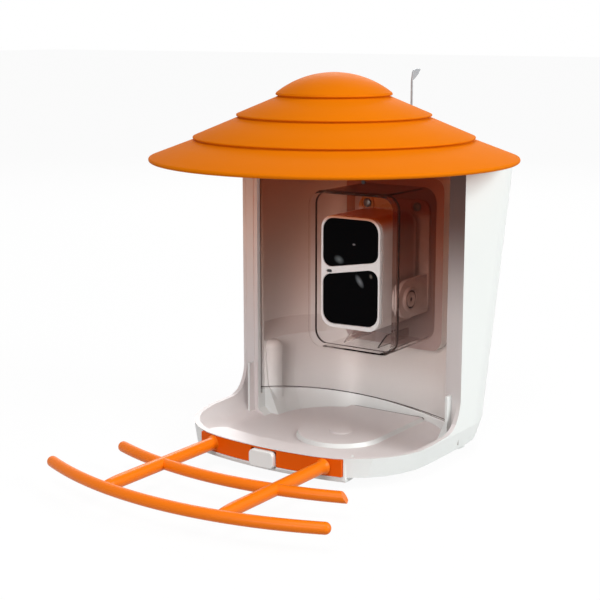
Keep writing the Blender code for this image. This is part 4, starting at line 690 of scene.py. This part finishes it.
# small black microphone slot between the two windows
micLook = {"x": -0.0188, "z": 0.1312, "long": 0.0038, "high": 0.0020, "proud": 0.0001, "deep": 0.0006,
           "sides": 24}
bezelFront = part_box("camera_bezel")[0][1]
bm = bmesh.new()
bmesh.ops.create_circle(bm, cap_ends=True, segments=micLook["sides"], radius=micLook["high"] / 2)
for point in bm.verts:
    point.co.x += math.copysign((micLook["long"] - micLook["high"]) / 2, point.co.x)
thicken(bm, (0, 0, micLook["deep"]))
place = turnedTo((micLook["x"], bezelFront - micLook["proud"] + micLook["deep"], micLook["z"]), 90, "X")
bmesh.ops.transform(bm, matrix=place, verts=bm.verts[:])
addPiece("micSlot", meshFrom(bm, "micSlot"), "plugBlackAndGrooveShade", bodyOf["camera_bezel"])
print("camera details added")


# 1 on rays that come from the camera, off a glossy surface or through a clear one, else 0
def seenDirectly(tree):
    path = tree.nodes.new("ShaderNodeLightPath")
    seen = path.outputs["Is Camera Ray"]
    for ray in ("Is Glossy Ray", "Is Transmission Ray"):
        larger = tree.nodes.new("ShaderNodeMath")
        larger.operation = "MAXIMUM"
        tree.links.new(seen, larger.inputs[0])
        tree.links.new(path.outputs[ray], larger.inputs[1])
        seen = larger.outputs[0]
    return seen


# floor: nearly white and glowing where it is seen, grey where it only passes light on
floorLook = {"half": 12.0, "colour": (0.45, 0.45, 0.45), "roughness": 0.9, "seenColour": (0.95, 0.95, 0.95),
             "glow": 1.0, "glowShare": 0.95}
bm = bmesh.new()
bmesh.ops.create_grid(bm, x_segments=1, y_segments=1, size=floorLook["half"])
floorMesh = bpy.data.meshes.new("floor")
bm.to_mesh(floorMesh)
bm.free()
floorMat, tree, shader = emptyMaterial("paleFloor")
shader.inputs["Roughness"].default_value = floorLook["roughness"]
seen = seenDirectly(tree)
paint = colourMix(tree, seen, floorLook["colour"], floorLook["seenColour"])
tree.links.new(paint, shader.inputs["Base Color"])
glow = tree.nodes.new("ShaderNodeEmission")
glow.inputs["Color"].default_value = (1, 1, 1, 1)
glow.inputs["Strength"].default_value = floorLook["glow"]
share = tree.nodes.new("ShaderNodeMath")
share.operation = "MULTIPLY"
share.inputs[1].default_value = floorLook["glowShare"]
tree.links.new(seen, share.inputs[0])
blend = tree.nodes.new("ShaderNodeMixShader")
tree.links.new(share.outputs[0], blend.inputs[0])
tree.links.new(shader.outputs["BSDF"], blend.inputs[1])
tree.links.new(glow.outputs["Emission"], blend.inputs[2])
tree.links.new(blend.outputs[0], tree.nodes["Material Output"].inputs["Surface"])
floorMesh.materials.append(floorMat)
floor = bpy.data.objects.new("floor", floorMesh)
bpy.context.scene.collection.objects.link(floor)
print("floor laid")

# world: white where it is seen, a weak fill light elsewhere
worldLook = {"fill": 0.16, "seen": 1.0}
world = bpy.data.worlds.new("studioWorld")
bpy.context.scene.world = world
world.use_nodes = True
tree = world.node_tree
background = tree.nodes["Background"]
background.inputs["Color"].default_value = (1, 1, 1, 1)
strength = tree.nodes.new("ShaderNodeMapRange")
strength.inputs["To Min"].default_value = worldLook["fill"]
strength.inputs["To Max"].default_value = worldLook["seen"]
tree.links.new(seenDirectly(tree), strength.inputs["Value"])
tree.links.new(strength.outputs["Result"], background.inputs["Strength"])

# lamps, all aimed at one spot in the object
lampAim = Vector((0, 0.03, 0.14))
lamps = {
    "keyLamp": {"place": (0.30, -0.80, 1.6), "size": 0.9, "power": 14.5, "colour": (1, 0.99, 0.98)},
    "rightLamp": {"place": (1.55, 0.25, 0.95), "size": 0.8, "power": 25, "colour": (0.97, 1, 0.99)},
    "frontLamp": {"place": (0.2, -1.9, 0.75), "size": 0.8, "power": 13, "colour": (0.98, 0.99, 1)},
    "backLamp": {"place": (-0.9, 1.5, 1.1), "size": 0.8, "power": 14, "colour": (1, 1, 1)},
}
for name, look in lamps.items():
    lampData = bpy.data.lights.new(name, "AREA")
    lampData.energy = look["power"]
    lampData.size = look["size"]
    lampData.color = look["colour"]
    lamp = bpy.data.objects.new(name, lampData)
    bpy.context.scene.collection.objects.link(lamp)
    lamp.location = look["place"]
    lamp.rotation_euler = (lampAim - Vector(look["place"])).to_track_quat("-Z", "Y").to_euler()
print("studio lit")
